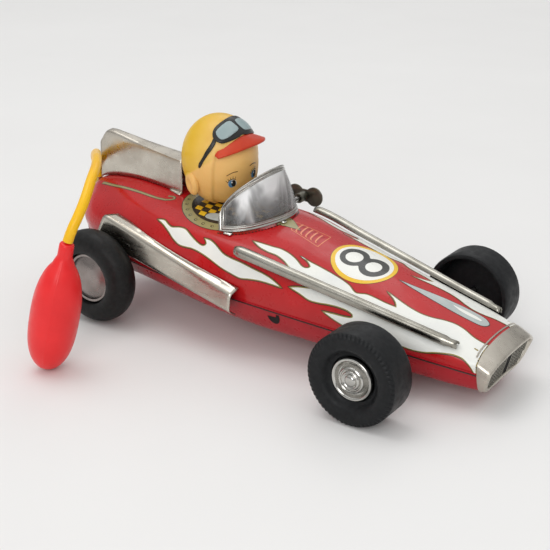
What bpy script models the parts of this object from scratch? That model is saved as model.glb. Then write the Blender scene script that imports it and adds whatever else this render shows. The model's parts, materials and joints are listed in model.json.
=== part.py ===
"""Clockwork tin racing car with a vinyl-headed driver and a squeeze bulb.

The car stands on z = 0 with its nose towards +X and the driver's left towards +Y.
The origin is on the ground, under the middle of the car's length, width and height.
Every length in this file is in millimetres.  MM turns it into metres when a mesh is made.
"""

import math

import bmesh
import bpy
from mathutils import Matrix, Vector

MM = 0.001

# ---------------------------------------------------------------- driving dimensions
CAR_LENGTH = 262.0
TAIL_X = -CAR_LENGTH / 2
NOSE_X = CAR_LENGTH / 2
REAR_AXLE_X = TAIL_X + 40.0
WHEELBASE = 172.4
FRONT_AXLE_X = REAR_AXLE_X + WHEELBASE

REAR_TYRE_RADIUS = 25.5
REAR_TYRE_SECTION = 8.25
REAR_TYRE_Y = 43.5
REAR_TYRE_ARC_DEGREES = 112.0
FRONT_TYRE_RADIUS = 22.5
FRONT_TYRE_OUTER_Y = 67.8
FRONT_TYRE_INNER_Y = 49.3
TYRE_SEGMENTS = 28
# A tyre's facets lie this much inside its corners, so its corners are set this much further out.
FACET_GROWTH = 1 / math.cos(math.pi / TYRE_SEGMENTS)

AXLE_RADIUS = 1.5
SHEET = 0.8
THIN_SHEET = 0.5
GAP = 0.3
RUNNING_GAP = 0.15
STAFF_RADIUS = 1.2
PILLAR_RADIUS = 1.6

KEY_X = REAR_AXLE_X + 61.6
KEY_Z = 52.0
KEY_Y = 66.0
KEY_LOBE_RADIUS = 5.6
KEY_LOBE_OFFSET = 6.2

PLATE_Y = 12.0
GEAR_MODULE = 1.0
GEAR_WIDTH = 1.6
PINION_WIDTH = 3.0
GREAT_WHEEL_Y = -1.0
SECOND_WHEEL_Y = -4.8
THIRD_WHEEL_Y = -8.2
GREAT_WHEEL_TEETH = 20
SECOND_PINION_TEETH = 12
SECOND_WHEEL_TEETH = 26
THIRD_PINION_TEETH = 12
THIRD_WHEEL_TEETH = 32
IDLER_TEETH = 12
AXLE_PINION_TEETH = 10

HEAD_X = REAR_AXLE_X + 52.4
HEAD_Z = 88.2
HEAD_SIZE = (20.6, 20.2, 24.0)
HEAD_TURN_DEGREES = -8.0
HEAD_LEAN_DEGREES = 7.0
HEAD_CENTRE = Vector((HEAD_X, 0.0, HEAD_Z))
HEAD_COLLAR_Z = 66.4
VISOR_HALF_ANGLE_DEGREES = 52.0
VISOR_THICKNESS = 1.3

HOSE_DIAMETER = 5.0
NIPPLE_X = REAR_AXLE_X - 34.4
NIPPLE_RADIUS = 2.1
BULB_BOTTOM = (REAR_AXLE_X + 19.7, -102.5, 0.6)
BULB_NECK_TOP = (REAR_AXLE_X + 34.9, -97.0, 67.6)
BULB_RADIUS = 12.0

# The hose's route from the nipple on the tail to the bulb's neck, measured from the rear axle.
HOSE_ROUTE = (
    (-34.4, 0.0, 63.7),
    (-34.4, -0.9, 69.5),
    (-32.4, -4.2, 75.0),
    (-27.4, -9.4, 79.2),
    (-19.0, -17.6, 83.4),
    (-8.6, -28.2, 87.6),
    (3.0, -40.4, 91.8),
    (14.6, -52.4, 94.8),
    (25.0, -64.2, 95.2),
    (32.0, -75.4, 92.4),
    (36.4, -84.6, 86.6),
    (37.6, -90.8, 80.4),
    (36.9, -95.3, 74.2),
    (35.2, -96.8, 68.5),
)
HOSE_POINTS = 26

# Outer surface of the body: distance ahead of the rear axle, height of the crown,
# half-width and height of the shoulder, of the widest line and of the seam,
# then half-width of the flat keel and its height.
BODY_STATIONS = (
    (-38.6, 53.5, 4.5, 51.6, 7.2, 47.0, 5.5, 42.5, 2.0, 39.0),
    (-35.5, 59.5, 7.0, 55.0, 12.3, 47.0, 9.5, 40.0, 3.0, 34.0),
    (-30.0, 64.2, 9.6, 58.4, 17.8, 46.5, 14.5, 37.7, 4.0, 29.0),
    (-22.0, 66.6, 12.6, 60.6, 23.2, 46.0, 19.5, 36.2, 5.0, 24.5),
    (-12.0, 67.9, 15.6, 61.6, 27.0, 45.2, 24.0, 35.2, 6.0, 21.0),
    (0.0, 68.3, 19.0, 61.9, 30.2, 44.4, 27.6, 34.4, 7.0, 18.2),
    (15.0, 67.6, 23.2, 61.4, 32.6, 43.4, 30.6, 33.6, 9.5, 18.0),
    (30.0, 66.2, 27.6, 60.4, 34.6, 42.6, 32.8, 32.9, 12.0, 17.0),
    (60.0, 64.6, 31.8, 58.2, 36.6, 40.8, 34.8, 31.5, 16.0, 14.0),
    (92.0, 62.6, 33.0, 55.2, 36.8, 38.6, 35.0, 30.1, 19.0, 11.8),
    (120.0, 55.2, 30.2, 49.0, 35.0, 35.6, 33.4, 28.2, 20.5, 11.8),
    (150.0, 46.8, 26.8, 42.3, 32.2, 32.0, 30.8, 25.8, 20.0, 10.8),
    (180.0, 38.8, 23.5, 35.5, 29.0, 28.0, 28.0, 23.1, 19.0, 9.6),
    (200.0, 33.8, 21.2, 31.1, 26.4, 25.0, 25.6, 21.3, 18.0, 8.8),
    (213.2, 30.2, 17.8, 28.4, 24.0, 23.0, 23.4, 19.9, 16.4, 8.6),
)
# Folded fin: distance ahead of the rear axle, height of its top, half-width, lean of the top edge.
FIN_STATIONS = (
    (-31.0, 85.4, 1.2, 0.6),
    (-30.2, 89.0, 1.4, 1.6),
    (-27.4, 91.4, 1.7, 2.6),
    (-22.8, 92.4, 2.0, 1.6),
    (-12.0, 90.9, 2.6, 0.6),
    (-1.0, 89.0, 3.2, 0.0),
    (10.0, 87.3, 4.0, 0.0),
    (21.0, 85.8, 4.8, 0.0),
    (30.4, 84.6, 5.4, 0.0),
)

STRIP_REAR_X = 88.0
STRIP_FRONT_X = 203.0
STRIP_WIDTH = 5.4
STRIP_HEIGHT = 3.1
STRIP_TAPER = 0.2

# Corners of the side pods on the driver's left, from the top edge to the lower edge.
POD_REAR = ((5.0, 28.6, 56.6), (0.0, 34.4, 56.8), (-6.8, 34.6, 43.2), (-6.8, 32.0, 41.5))
POD_FRONT = ((90.5, 37.0, 37.4), (89.0, 42.4, 34.4), (88.0, 42.4, 25.4), (88.4, 37.6, 22.6))

TAIL_POLE_X = -40.0
TAIL_POLE_Z = 47.0

# ---------------------------------------------------------------- materials


def material(name, colour, roughness, metallic=0.0):
    """Make one Principled material."""
    made = bpy.data.materials.new(name)
    made.use_nodes = True
    shader = made.node_tree.nodes["Principled BSDF"]
    shader.inputs["Base Color"].default_value = (*colour, 1.0)
    shader.inputs["Roughness"].default_value = roughness
    shader.inputs["Metallic"].default_value = metallic
    made.diffuse_color = (*colour, 1.0)
    return made


# ---------------------------------------------------------------- mesh helpers


def clear_scene():
    """Remove every object so that the file holds only the car."""
    for old in list(bpy.data.objects):
        bpy.data.objects.remove(old, do_unlink=True)


def add_object(name, mesh, look, location=(0.0, 0.0, 0.0)):
    """Link a mesh under a name, with its origin at a location in millimetres."""
    made = bpy.data.objects.new(name, mesh)
    made.location = Vector(location) * MM
    mesh.materials.append(look)
    bpy.context.scene.collection.objects.link(made)
    return made


def finish_mesh(bm, name, look, origin=(0.0, 0.0, 0.0), sharp_degrees=35.0):
    """Turn a bmesh in millimetres into an object whose origin is at `origin`."""
    bmesh.ops.remove_doubles(bm, verts=bm.verts, dist=1e-4)
    bmesh.ops.recalc_face_normals(bm, faces=bm.faces)
    bmesh.ops.translate(bm, verts=bm.verts, vec=-Vector(origin))
    bmesh.ops.scale(bm, verts=bm.verts, vec=(MM, MM, MM))
    mesh = bpy.data.meshes.new(name)
    bm.to_mesh(mesh)
    bm.free()
    mesh.shade_smooth()
    mesh.set_sharp_from_angle(angle=math.radians(sharp_degrees))
    return add_object(name, mesh, look, origin)


def grid_mesh(rows, close_rows=False, close_columns=False):
    """Skin a grid of points, given as rows of equal length."""
    bm = bmesh.new()
    grid = [[bm.verts.new(point) for point in row] for row in rows]
    row_count = len(grid)
    column_count = len(grid[0])
    for i in range(row_count if close_rows else row_count - 1):
        for j in range(column_count if close_columns else column_count - 1):
            i2 = (i + 1) % row_count
            j2 = (j + 1) % column_count
            bm.faces.new((grid[i][j], grid[i][j2], grid[i2][j2], grid[i2][j]))
    return bm


def close_ends(bm, count):
    """Cap the first and the last loop of a skinned grid."""
    corners = list(bm.verts)
    caps = [bm.faces.new(corners[:count]), bm.faces.new(corners[-count:])]
    bmesh.ops.triangulate(bm, faces=caps)


def add_solidify(made, thickness, offset=-1.0):
    """Give a sheet its thickness, on its inner side by default."""
    solidify = made.modifiers.new("Solidify", "SOLIDIFY")
    solidify.thickness = thickness * MM
    solidify.offset = offset
    solidify.use_even_offset = True


def add_cut(made, cutter, operation="DIFFERENCE"):
    """Cut or join with an exact Boolean."""
    boolean = made.modifiers.new("Boolean", "BOOLEAN")
    boolean.operation = operation
    boolean.solver = "EXACT"
    boolean.object = cutter


def as_guide(made):
    """Mark an object as a cutter that is not a part of the car."""
    made.hide_render = True
    made.display_type = "WIRE"
    return made


def ring(radius, y, count, centre=(0.0, 0.0), phase=0.0):
    """Points of a circle about an axis along Y."""
    points = []
    for k in range(count):
        angle = 2 * math.pi * k / count + phase
        points.append((centre[0] + radius * math.cos(angle), y, centre[1] + radius * math.sin(angle)))
    return points


def turned(name, look, profile, axis_xz, segments=24, sharp_degrees=35.0, phase=0.0):
    """Turn a closed profile of (radius, y) points about an axis along Y.

    A profile whose first and last radius are zero is closed on the axis itself.
    """
    bm = bmesh.new()
    loops = []
    for radius, y in profile:
        if radius == 0.0:
            loops.append([bm.verts.new((axis_xz[0], y, axis_xz[1]))])
        else:
            loops.append([bm.verts.new(point) for point in ring(radius, y, segments, axis_xz, phase)])
    on_axis = profile[0][0] == 0.0
    pairs = list(zip(loops, loops[1:]))
    if not on_axis:
        pairs.append((loops[-1], loops[0]))
    for first, second in pairs:
        for k in range(segments):
            k2 = (k + 1) % segments
            if len(first) == 1:
                bm.faces.new((first[0], second[k], second[k2]))
            elif len(second) == 1:
                bm.faces.new((first[k], second[0], first[k2]))
            else:
                bm.faces.new((first[k], second[k], second[k2], first[k2]))
    return finish_mesh(bm, name, look, (axis_xz[0], 0.0, axis_xz[1]), sharp_degrees)


def plate(name, look, outline, y_low, y_high, holes=(), origin=None, sharp_degrees=35.0):
    """Cut a plate from an outline of (x, z) points and give it a thickness along Y.

    Each hole is (x, z, radius, sides).
    """
    bm = bmesh.new()
    loops = [[bm.verts.new((x, y_low, z)) for x, z in outline]]
    for x, z, radius, sides in holes:
        loops.append([bm.verts.new(point) for point in ring(radius, y_low, sides, (x, z))])
    edges = []
    for loop in loops:
        for k, vertex in enumerate(loop):
            edges.append(bm.edges.new((vertex, loop[(k + 1) % len(loop)])))
    bmesh.ops.triangle_fill(bm, use_beauty=True, use_dissolve=False, edges=edges)
    made = bmesh.ops.extrude_face_region(bm, geom=list(bm.faces))
    moved = [item for item in made["geom"] if isinstance(item, bmesh.types.BMVert)]
    bmesh.ops.translate(bm, verts=moved, vec=(0.0, y_high - y_low, 0.0))
    if origin is None:
        origin = (outline[0][0], y_low, outline[0][1])
    return finish_mesh(bm, name, look, origin, sharp_degrees)


def rod(name, look, axis_xz, y_low, y_high, radius, segments=12, chamfer=0.3):
    """Make a round bar along Y with chamfered ends."""
    profile = (
        (0.0, y_low),
        (radius - chamfer, y_low),
        (radius, y_low + chamfer),
        (radius, y_high - chamfer),
        (radius - chamfer, y_high),
        (0.0, y_high),
    )
    return turned(name, look, profile, axis_xz, segments)


def arc(centre, radius, start_degrees, end_degrees, steps):
    """Points of an arc in the XZ plane."""
    points = []
    for k in range(steps + 1):
        angle = math.radians(start_degrees + (end_degrees - start_degrees) * k / steps)
        points.append((centre[0] + radius * math.cos(angle), centre[1] + radius * math.sin(angle)))
    return points


# ---------------------------------------------------------------- body sections


def station_values(x):
    """Read the body's section dimensions at a distance ahead of the rear axle."""
    rows = BODY_STATIONS
    if x <= rows[0][0]:
        return rows[0][1:]
    if x >= rows[-1][0]:
        return rows[-1][1:]
    for i in range(len(rows) - 1):
        if rows[i][0] <= x <= rows[i + 1][0]:
            break
    before = rows[max(i - 1, 0)]
    start = rows[i]
    end = rows[i + 1]
    after = rows[min(i + 2, len(rows) - 1)]
    span = end[0] - start[0]
    t = (x - start[0]) / span
    values = []
    for k in range(1, len(start)):
        slope_start = (end[k] - before[k]) / (end[0] - before[0])
        slope_end = (after[k] - start[k]) / (after[0] - start[0])
        values.append(hermite(start[k], slope_start * span, end[k], slope_end * span, t))
    return values


def hermite(p0, m0, p1, m1, t):
    """Cubic Hermite interpolation between two values with end slopes."""
    t2 = t * t
    t3 = t2 * t
    return (2 * t3 - 3 * t2 + 1) * p0 + (t3 - 2 * t2 + t) * m0 + (3 * t2 - 2 * t3) * p1 + (t3 - t2) * m1


def upper_half_section(x):
    """Points of the upper shell's left half, from the crown down to the seam."""
    crown_z, shoulder_y, shoulder_z, side_y, side_z, seam_y, seam_z, _, _ = station_values(x)
    points = []
    drop = crown_z - shoulder_z
    for k in range(4):
        t = k / 4
        points.append((t * shoulder_y, crown_z - drop * t ** 2.2))
    out = side_y - shoulder_y
    down = shoulder_z - side_z
    for k in range(4):
        t = k / 4
        y = hermite(shoulder_y, 1.5 * out, side_y, 0.0, t)
        z = hermite(shoulder_z, -0.8 * down, side_z, -1.1 * down, t)
        points.append((y, z))
    inward = seam_y - side_y
    fall = seam_z - side_z
    for k in range(4):
        t = k / 3
        y = hermite(side_y, 0.0, seam_y, 1.6 * inward, t)
        z = hermite(side_z, 1.0 * fall, seam_z, 1.0 * fall, t)
        points.append((y, z))
    return points


def lower_half_section(x, drop=0.0):
    """Points of the lower pan's left half, from the seam down to the middle of the keel."""
    _, _, _, _, _, seam_y, seam_z, keel_y, keel_z = station_values(x)
    top_z = seam_z - drop
    points = []
    steps = 5
    for k in range(steps):
        t = k / steps
        y = hermite(seam_y, -0.5 * (seam_y - keel_y), keel_y, -1.7 * (seam_y - keel_y), t)
        z = hermite(top_z, 1.5 * (keel_z - top_z), keel_z, 0.0, t)
        points.append((y, z))
    points.append((keel_y, keel_z))
    points.append((0.0, keel_z))
    return points


def mirrored(half):
    """Join a left half, listed from the middle outwards, to its mirror image."""
    right = [(-y, z) for y, z in reversed(half)]
    return right[:-1] + half


def at_station(x, section):
    """Place section points of (y, z) at a distance ahead of the rear axle."""
    return [(REAR_AXLE_X + x, y, z) for y, z in section]


def surface_height(x, y):
    """Height of the body's upper surface at a point of the plan."""
    half = upper_half_section(x)
    side = abs(y)
    for (y0, z0), (y1, z1) in zip(half, half[1:]):
        if y0 <= side <= y1:
            return z0 + (z1 - z0) * (side - y0) / max(y1 - y0, 1e-6)
    return half[-1][1]


def surface_width(x, z):
    """Half-width of the body at a height, measured on its outer side."""
    half = upper_half_section(x) + lower_half_section(x)[1:]
    widest = 0.0
    for (y0, z0), (y1, z1) in zip(half, half[1:]):
        if min(z0, z1) <= z <= max(z0, z1):
            part = (z - z0) / (z1 - z0) if z1 != z0 else 0.0
            widest = max(widest, y0 + (y1 - y0) * part)
    return widest


def shell_stations():
    """Distances ahead of the rear axle at which the body's skin has a section."""
    stations = [row[0] for row in BODY_STATIONS]
    extra = [45.0, 76.0, 135.0, 165.0]
    return sorted(stations + extra)


def skin_with_tail(rows, tail_point):
    """Skin body sections and gather their rear ends to one point."""
    bm = grid_mesh(rows)
    rear = list(bm.verts)[: len(rows[0])]
    pole = bm.verts.new(tail_point)
    for first, second in zip(rear, rear[1:]):
        bm.faces.new((pole, first, second))
    return bm


def orient_outwards(made, centre_z):
    """Turn a sheet's faces away from the car's long middle axis."""
    mesh = made.data
    total = 0.0
    for face in mesh.polygons:
        outward = Vector((0.0, face.center.y, face.center.z - centre_z * MM))
        total += face.normal.dot(outward) * face.area
    if total < 0.0:
        mesh.flip_normals()


def make_body(red, red_pan):
    """Make the printed upper shell and the lower pan with their holes."""
    upper_rows = [at_station(x, mirrored(upper_half_section(x))) for x in shell_stations()]
    tail = (REAR_AXLE_X + TAIL_POLE_X, 0.0, TAIL_POLE_Z)
    shell = finish_mesh(skin_with_tail(upper_rows, tail), "body_shell", red, (0, 0, 40), 50.0)
    orient_outwards(shell, 0.0)
    add_solidify(shell, SHEET)

    lower_rows = []
    for x in shell_stations():
        half = lower_half_section(x, GAP)
        lower_rows.append(at_station(x, mirrored(list(reversed(half)))))
    tail_low = (REAR_AXLE_X + TAIL_POLE_X, 0.0, TAIL_POLE_Z - 2.2)
    pan = finish_mesh(skin_with_tail(lower_rows, tail_low), "base_pan", red_pan, (0, 0, 15), 50.0)
    orient_outwards(pan, 25.0)
    add_solidify(pan, SHEET)

    front_hole = as_guide(rod("cut_front_axle", red, (FRONT_AXLE_X, FRONT_TYRE_RADIUS), -40, 40, 2.4))
    rear_hole = as_guide(rod("cut_rear_axle", red, (REAR_AXLE_X, REAR_TYRE_RADIUS), -40, 40, 2.4))
    key_hole = as_guide(rod("cut_key_stem", red, (KEY_X, KEY_Z), 20, 50, 3.4))
    add_cut(shell, front_hole)
    add_cut(pan, front_hole)
    add_cut(pan, rear_hole)
    add_cut(shell, key_hole)
    nipple_hole = as_guide(vertical_rod("cut_nipple", red, (NIPPLE_X, 0.0), 52, 80, NIPPLE_RADIUS + 0.4))
    add_cut(shell, nipple_hole)
    return shell, pan


def vertical_rod(name, look, centre_xy, z_low, z_high, radius, segments=12):
    """Make a round bar along Z."""
    bm = bmesh.new()
    bmesh.ops.create_cone(
        bm, cap_ends=True, segments=segments, radius1=radius, radius2=radius, depth=z_high - z_low
    )
    bmesh.ops.translate(bm, verts=bm.verts, vec=(centre_xy[0], centre_xy[1], (z_low + z_high) / 2))
    return finish_mesh(bm, name, look, (centre_xy[0], centre_xy[1], z_low))


# ---------------------------------------------------------------- nose


def nose_loop(grow, forward):
    """One closed loop of the nose; `forward` runs from 0 at the body to 1 at the face."""
    upper = mirrored(upper_half_section(213.2))
    lower = lower_half_section(213.2)[1:]
    loop = upper + lower + [(-y, z) for y, z in reversed(lower[:-1])]
    centre_z = 19.0
    points = []
    for y, z in loop:
        outward = Vector((y, (z - centre_z) * 1.4))
        push = outward.normalized() * grow
        y_new = y + push.x
        z_new = z + push.y
        squashed = 9.2 + (z_new - 8.6) * 0.76
        z_out = z_new + (squashed - z_new) * forward
        face_x = 216.6 + (z_out - 9.0) * 0.33
        x = 213.5 + (face_x - 213.5) * forward
        points.append((REAR_AXLE_X + x, y_new, z_out))
    return points


def make_nose(tin, dark):
    """Make the plated ring at the nose and the slatted grille inside it."""
    loops = [
        nose_loop(0.7, 0.0),
        nose_loop(0.5, 0.8),
        nose_loop(-0.2, 1.0),
        nose_loop(-1.6, 0.97),
        nose_loop(-2.4, 0.5),
        nose_loop(-0.6, 0.0),
    ]
    nose = finish_mesh(grid_mesh(loops, close_rows=True, close_columns=True), "nose_ring", tin, (NOSE_X, 0, 18))
    rim = [nose_loop(-3.1, 0.86), nose_loop(-3.1, 0.7)]
    bm = grid_mesh(rim, close_columns=True)
    close_ends(bm, len(rim[0]))
    finish_mesh(bm, "nose_grille", dark, (NOSE_X - 4, 0, 18))
    return nose


# ---------------------------------------------------------------- fittings on the body


def make_fin(tin):
    """Make the folded headrest fin behind the driver."""
    rows = []
    for x, top, half, lean in FIN_STATIONS:
        base = surface_height(x, half) + GAP + THIN_SHEET
        row = []
        for y, z, shift in ((-half, base, 0.0), (-half, top - 0.9, lean), (half, top, lean), (half, base, 0.0)):
            row.append((REAR_AXLE_X + x + shift, y, z))
        rows.append(row)
    fin = finish_mesh(grid_mesh(rows), "tail_fin", tin, (REAR_AXLE_X, 0, 70))
    orient_outwards(fin, 75.0)
    add_solidify(fin, THIN_SHEET)
    return fin


def screen_point(u, v):
    """A point of the windscreen: u runs round from right to left, v from base to rim."""
    angle = math.radians(-90 + 180 * u)
    base_x = 71.0 + 22.6 * math.cos(angle)
    base_y = 27.2 * math.sin(angle)
    base_z = surface_height(base_x, base_y) + 0.9
    rise = 26.2 * max(math.cos(angle), 0.0) ** 0.38 + 0.6
    lean = rise / 26.8
    x = base_x - 6.0 * lean * v
    y = base_y * (1 - 0.36 * lean * v)
    return Vector((REAR_AXLE_X + x, y, base_z + rise * v))


def make_windscreen(clear, chrome):
    """Make the clear screen and the plated frame round its edge."""
    u_low, u_high = 0.07, 0.93
    v_low, v_high = 0.09, 0.90
    rows = []
    for i in range(13):
        u = u_low + (u_high - u_low) * i / 12
        rows.append([screen_point(u, v_low + (v_high - v_low) * j / 4) for j in range(5)])
    pane = finish_mesh(grid_mesh(rows), "windscreen_pane", clear, (REAR_AXLE_X + 80, 0, 70), 60.0)
    add_solidify(pane, 0.6, 0.0)

    margin_u, margin_v = 0.017, 0.018
    inner_u = (u_low - margin_u, u_high + margin_u)
    inner_v = (v_low - margin_v, v_high + margin_v)
    outline = []
    for i in range(13):
        outline.append((i / 12, 0.0))
    for j in range(1, 4):
        outline.append((1.0, j / 4))
    for i in range(12, -1, -1):
        outline.append((i / 12, 1.0))
    for j in range(3, 0, -1):
        outline.append((0.0, j / 4))
    outer = [screen_point(u, v) for u, v in outline]
    inner = []
    for u, v in outline:
        inner.append(screen_point(inner_u[0] + (inner_u[1] - inner_u[0]) * u, inner_v[0] + (inner_v[1] - inner_v[0]) * v))
    frame = finish_mesh(grid_mesh([outer, inner], close_columns=True), "windscreen_frame", chrome, (REAR_AXLE_X + 80, 0, 70), 60.0)
    add_solidify(frame, 1.1, 0.0)


def make_strips(tin):
    """Make the half-round exhaust strips that hang over the shoulders, open below."""
    stations = 8
    for side, word in ((1, "left"), (-1, "right")):
        out = Vector((0.0, side * 0.985, -0.17))
        up = Vector((0.0, side * 0.17, 0.985))
        rows = []
        for k in range(stations):
            part = k / (stations - 1)
            x = STRIP_REAR_X + (STRIP_FRONT_X - STRIP_REAR_X) * part
            _, shoulder_y, shoulder_z, _, _, _, _, _, _ = station_values(x)
            foot = Vector((REAR_AXLE_X + x, side * shoulder_y, shoulder_z)) + up * (GAP + THIN_SHEET)
            taper = 1.0 - STRIP_TAPER * part
            row = []
            for j in range(8):
                angle = math.radians(-24 + 204 * j / 7)
                across = STRIP_WIDTH / 2 * taper * (1 + math.cos(angle))
                row.append(foot + out * across + up * (STRIP_HEIGHT * taper * math.sin(angle)))
            rows.append(row)
        middle_x = REAR_AXLE_X + (STRIP_REAR_X + STRIP_FRONT_X) / 2
        strip = finish_mesh(grid_mesh(rows), "exhaust_strip_" + word, tin, (middle_x, side * 30, 44), 60.0)
        add_solidify(strip, THIN_SHEET, 0.0)


def make_pods(tin):
    """Make the open side pods that run from the rear wheels to the middle of the car."""
    clearance = GAP + THIN_SHEET
    tyre_side = REAR_TYRE_Y - REAR_TYRE_SECTION
    for side, word in ((1, "left"), (-1, "right")):
        rows = []
        for k in range(9):
            t = k / 8
            row = []
            for start, end in zip(POD_REAR, POD_FRONT):
                point = Vector(start).lerp(Vector(end), t)
                y = point.y
                if math.hypot(point.x, point.z - REAR_TYRE_RADIUS) < REAR_TYRE_RADIUS:
                    y = min(y, tyre_side - clearance)
                y = max(y, surface_width(point.x, point.z) + clearance)
                row.append((REAR_AXLE_X + point.x, side * y, point.z))
            rows.append(row)
        pod = finish_mesh(grid_mesh(rows), "side_pod_" + word, tin, (REAR_AXLE_X + 40, side * 36, 42))
        add_solidify(pod, THIN_SHEET, 0.0)


def head_frame():
    """The head's own axes: forward, left and up, turned and leaned as it sits on the car."""
    turn = Matrix.Rotation(math.radians(HEAD_TURN_DEGREES), 3, "Z")
    lean = Matrix.Rotation(math.radians(HEAD_LEAN_DEGREES), 3, "X")
    return turn @ lean


def head_lump(name, look, centre, size, turn_degrees=0.0):
    """Make a rounded lump of the head from a centre and half-sizes in the head's own axes."""
    bm = bmesh.new()
    bmesh.ops.create_uvsphere(bm, u_segments=14, v_segments=8, radius=1.0)
    bmesh.ops.scale(bm, verts=bm.verts, vec=size)
    bmesh.ops.rotate(bm, verts=bm.verts, matrix=Matrix.Rotation(math.radians(turn_degrees), 3, "Z"))
    bmesh.ops.translate(bm, verts=bm.verts, vec=centre)
    bmesh.ops.rotate(bm, verts=bm.verts, matrix=head_frame())
    bmesh.ops.translate(bm, verts=bm.verts, vec=(HEAD_X, 0, HEAD_Z))
    return as_guide(finish_mesh(bm, name, look, (HEAD_X, 0, HEAD_Z), 60.0))


def make_visor(look):
    """Make the cap's short sloping peak."""
    steps = 12
    rows = []
    for k in range(steps + 1):
        part = 2 * k / steps - 1
        angle = math.radians(VISOR_HALF_ANGLE_DEGREES * part)
        bulge = 1 - part ** 2
        root = Vector((15.0 * math.cos(angle), 14.8 * math.sin(angle), 9.8 + 4.2 * bulge))
        brim = Vector((21.2 * math.cos(angle), 20.6 * math.sin(angle), 8.4 + 2.4 * bulge))
        low = Vector((0.0, 0.0, -VISOR_THICKNESS))
        rows.append([HEAD_CENTRE + head_frame() @ point for point in (root, brim, brim + low, root + low)])
    bm = grid_mesh(rows, close_columns=True)
    close_ends(bm, len(rows[0]))
    return as_guide(finish_mesh(bm, "join_visor", look, HEAD_CENTRE, 60.0))


def make_head(vinyl):
    """Make the driver's vinyl head with its cap peak, ears and nose."""
    bm = bmesh.new()
    bmesh.ops.create_uvsphere(bm, u_segments=24, v_segments=16, radius=1.0)
    bmesh.ops.scale(bm, verts=bm.verts, vec=HEAD_SIZE)
    bmesh.ops.rotate(bm, verts=bm.verts, matrix=head_frame())
    bmesh.ops.translate(bm, verts=bm.verts, vec=HEAD_CENTRE)
    for vertex in bm.verts:
        vertex.co.z = max(vertex.co.z, HEAD_COLLAR_Z)
    head = finish_mesh(bm, "driver_head", vinyl, HEAD_CENTRE, 60.0)
    add_cut(head, make_visor(vinyl), "UNION")
    for side, word in ((1, "left"), (-1, "right")):
        ear = head_lump("join_ear_" + word, vinyl, (-3.0, side * 18.9, -7.4), (5.6, 3.0, 6.6), side * 20.0)
        add_cut(head, ear, "UNION")
    nose = head_lump("join_nose", vinyl, (17.6, 0.0, -12.4), (2.2, 2.4, 1.9))
    add_cut(head, nose, "UNION")
    return head


# ---------------------------------------------------------------- wheels


def make_rear_wheels(rubber, tin, steel):
    """Make the rear axle with its tyres and domed tin hubs."""
    axis = (REAR_AXLE_X, REAR_TYRE_RADIUS)
    rod("rear_axle", steel, axis, -46.0, 46.0, AXLE_RADIUS)
    ring_radius = REAR_TYRE_RADIUS - REAR_TYRE_SECTION
    for side, word in ((1, "left"), (-1, "right")):
        profile = []
        for k in range(9):
            angle = math.radians(REAR_TYRE_ARC_DEGREES * (k / 4 - 1))
            radius = ring_radius + REAR_TYRE_SECTION * math.cos(angle)
            profile.append((radius * FACET_GROWTH, side * (REAR_TYRE_Y + REAR_TYRE_SECTION * math.sin(angle))))
        turned("rear_tyre_" + word, rubber, profile, axis, TYRE_SEGMENTS, 50.0, math.pi / TYRE_SEGMENTS)
        bore = ring_radius + REAR_TYRE_SECTION * math.cos(math.radians(REAR_TYRE_ARC_DEGREES))
        hub_profile = (
            (AXLE_RADIUS + GAP, side * (REAR_TYRE_Y - 6.4)),
            (bore - GAP, side * (REAR_TYRE_Y - 6.4)),
            (bore - GAP, side * (REAR_TYRE_Y + 4.2)),
            (bore - 0.8, side * (REAR_TYRE_Y + 5.6)),
            (9.0, side * (REAR_TYRE_Y + 7.4)),
            (4.0, side * (REAR_TYRE_Y + 8.2)),
            (AXLE_RADIUS + GAP, side * (REAR_TYRE_Y + 8.2)),
            (AXLE_RADIUS + GAP, side * (REAR_TYRE_Y + 4.0)),
            (9.0, side * (REAR_TYRE_Y + 3.2)),
            (bore - 2.0, side * (REAR_TYRE_Y + 2.0)),
            (bore - 2.0, side * (REAR_TYRE_Y - 5.4)),
            (AXLE_RADIUS + GAP, side * (REAR_TYRE_Y - 5.4)),
        )
        turned("rear_hub_" + word, tin, hub_profile, axis, 24)


def make_front_wheels(rubber, chrome, steel):
    """Make the front axle with its hollow tyres and stepped chrome caps."""
    axis = (FRONT_AXLE_X, FRONT_TYRE_RADIUS)
    rod("front_axle", steel, axis, -61.2, 61.2, AXLE_RADIUS)
    radius = FRONT_TYRE_RADIUS
    inner = FRONT_TYRE_INNER_Y
    outer = FRONT_TYRE_OUTER_Y
    for side, word in ((1, "left"), (-1, "right")):
        profile = (
            (radius - 1.6, inner),
            (radius, inner + 1.2),
            (radius, outer - 1.4),
            (radius - 1.2, outer),
            (16.4, outer),
            (15.2, outer - 1.2),
            (11.4, outer - 2.0),
            (10.9, outer - 6.0),
            (AXLE_RADIUS + GAP, outer - 6.0),
            (AXLE_RADIUS + GAP, outer - 8.4),
            (12.6, outer - 8.4),
            (19.0, outer - 6.0),
            (20.0, inner + 0.4),
        )
        tyre_profile = [(r * FACET_GROWTH, side * y) for r, y in profile]
        turned("front_tyre_" + word, rubber, tyre_profile, axis, TYRE_SEGMENTS, 40.0, math.pi / TYRE_SEGMENTS)
        cap_profile = (
            (0.0, outer - 5.6),
            (10.4, outer - 5.6),
            (10.4, outer - 3.0),
            (9.2, outer - 2.2),
            (7.2, outer - 3.0),
            (6.6, outer - 1.6),
            (4.2, outer - 1.2),
            (3.8, outer - 0.6),
            (0.0, outer - 0.5),
        )
        cap = [(r, side * y) for r, y in cap_profile]
        turned("front_cap_" + word, chrome, cap, axis, 24)


# ---------------------------------------------------------------- clockwork


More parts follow.
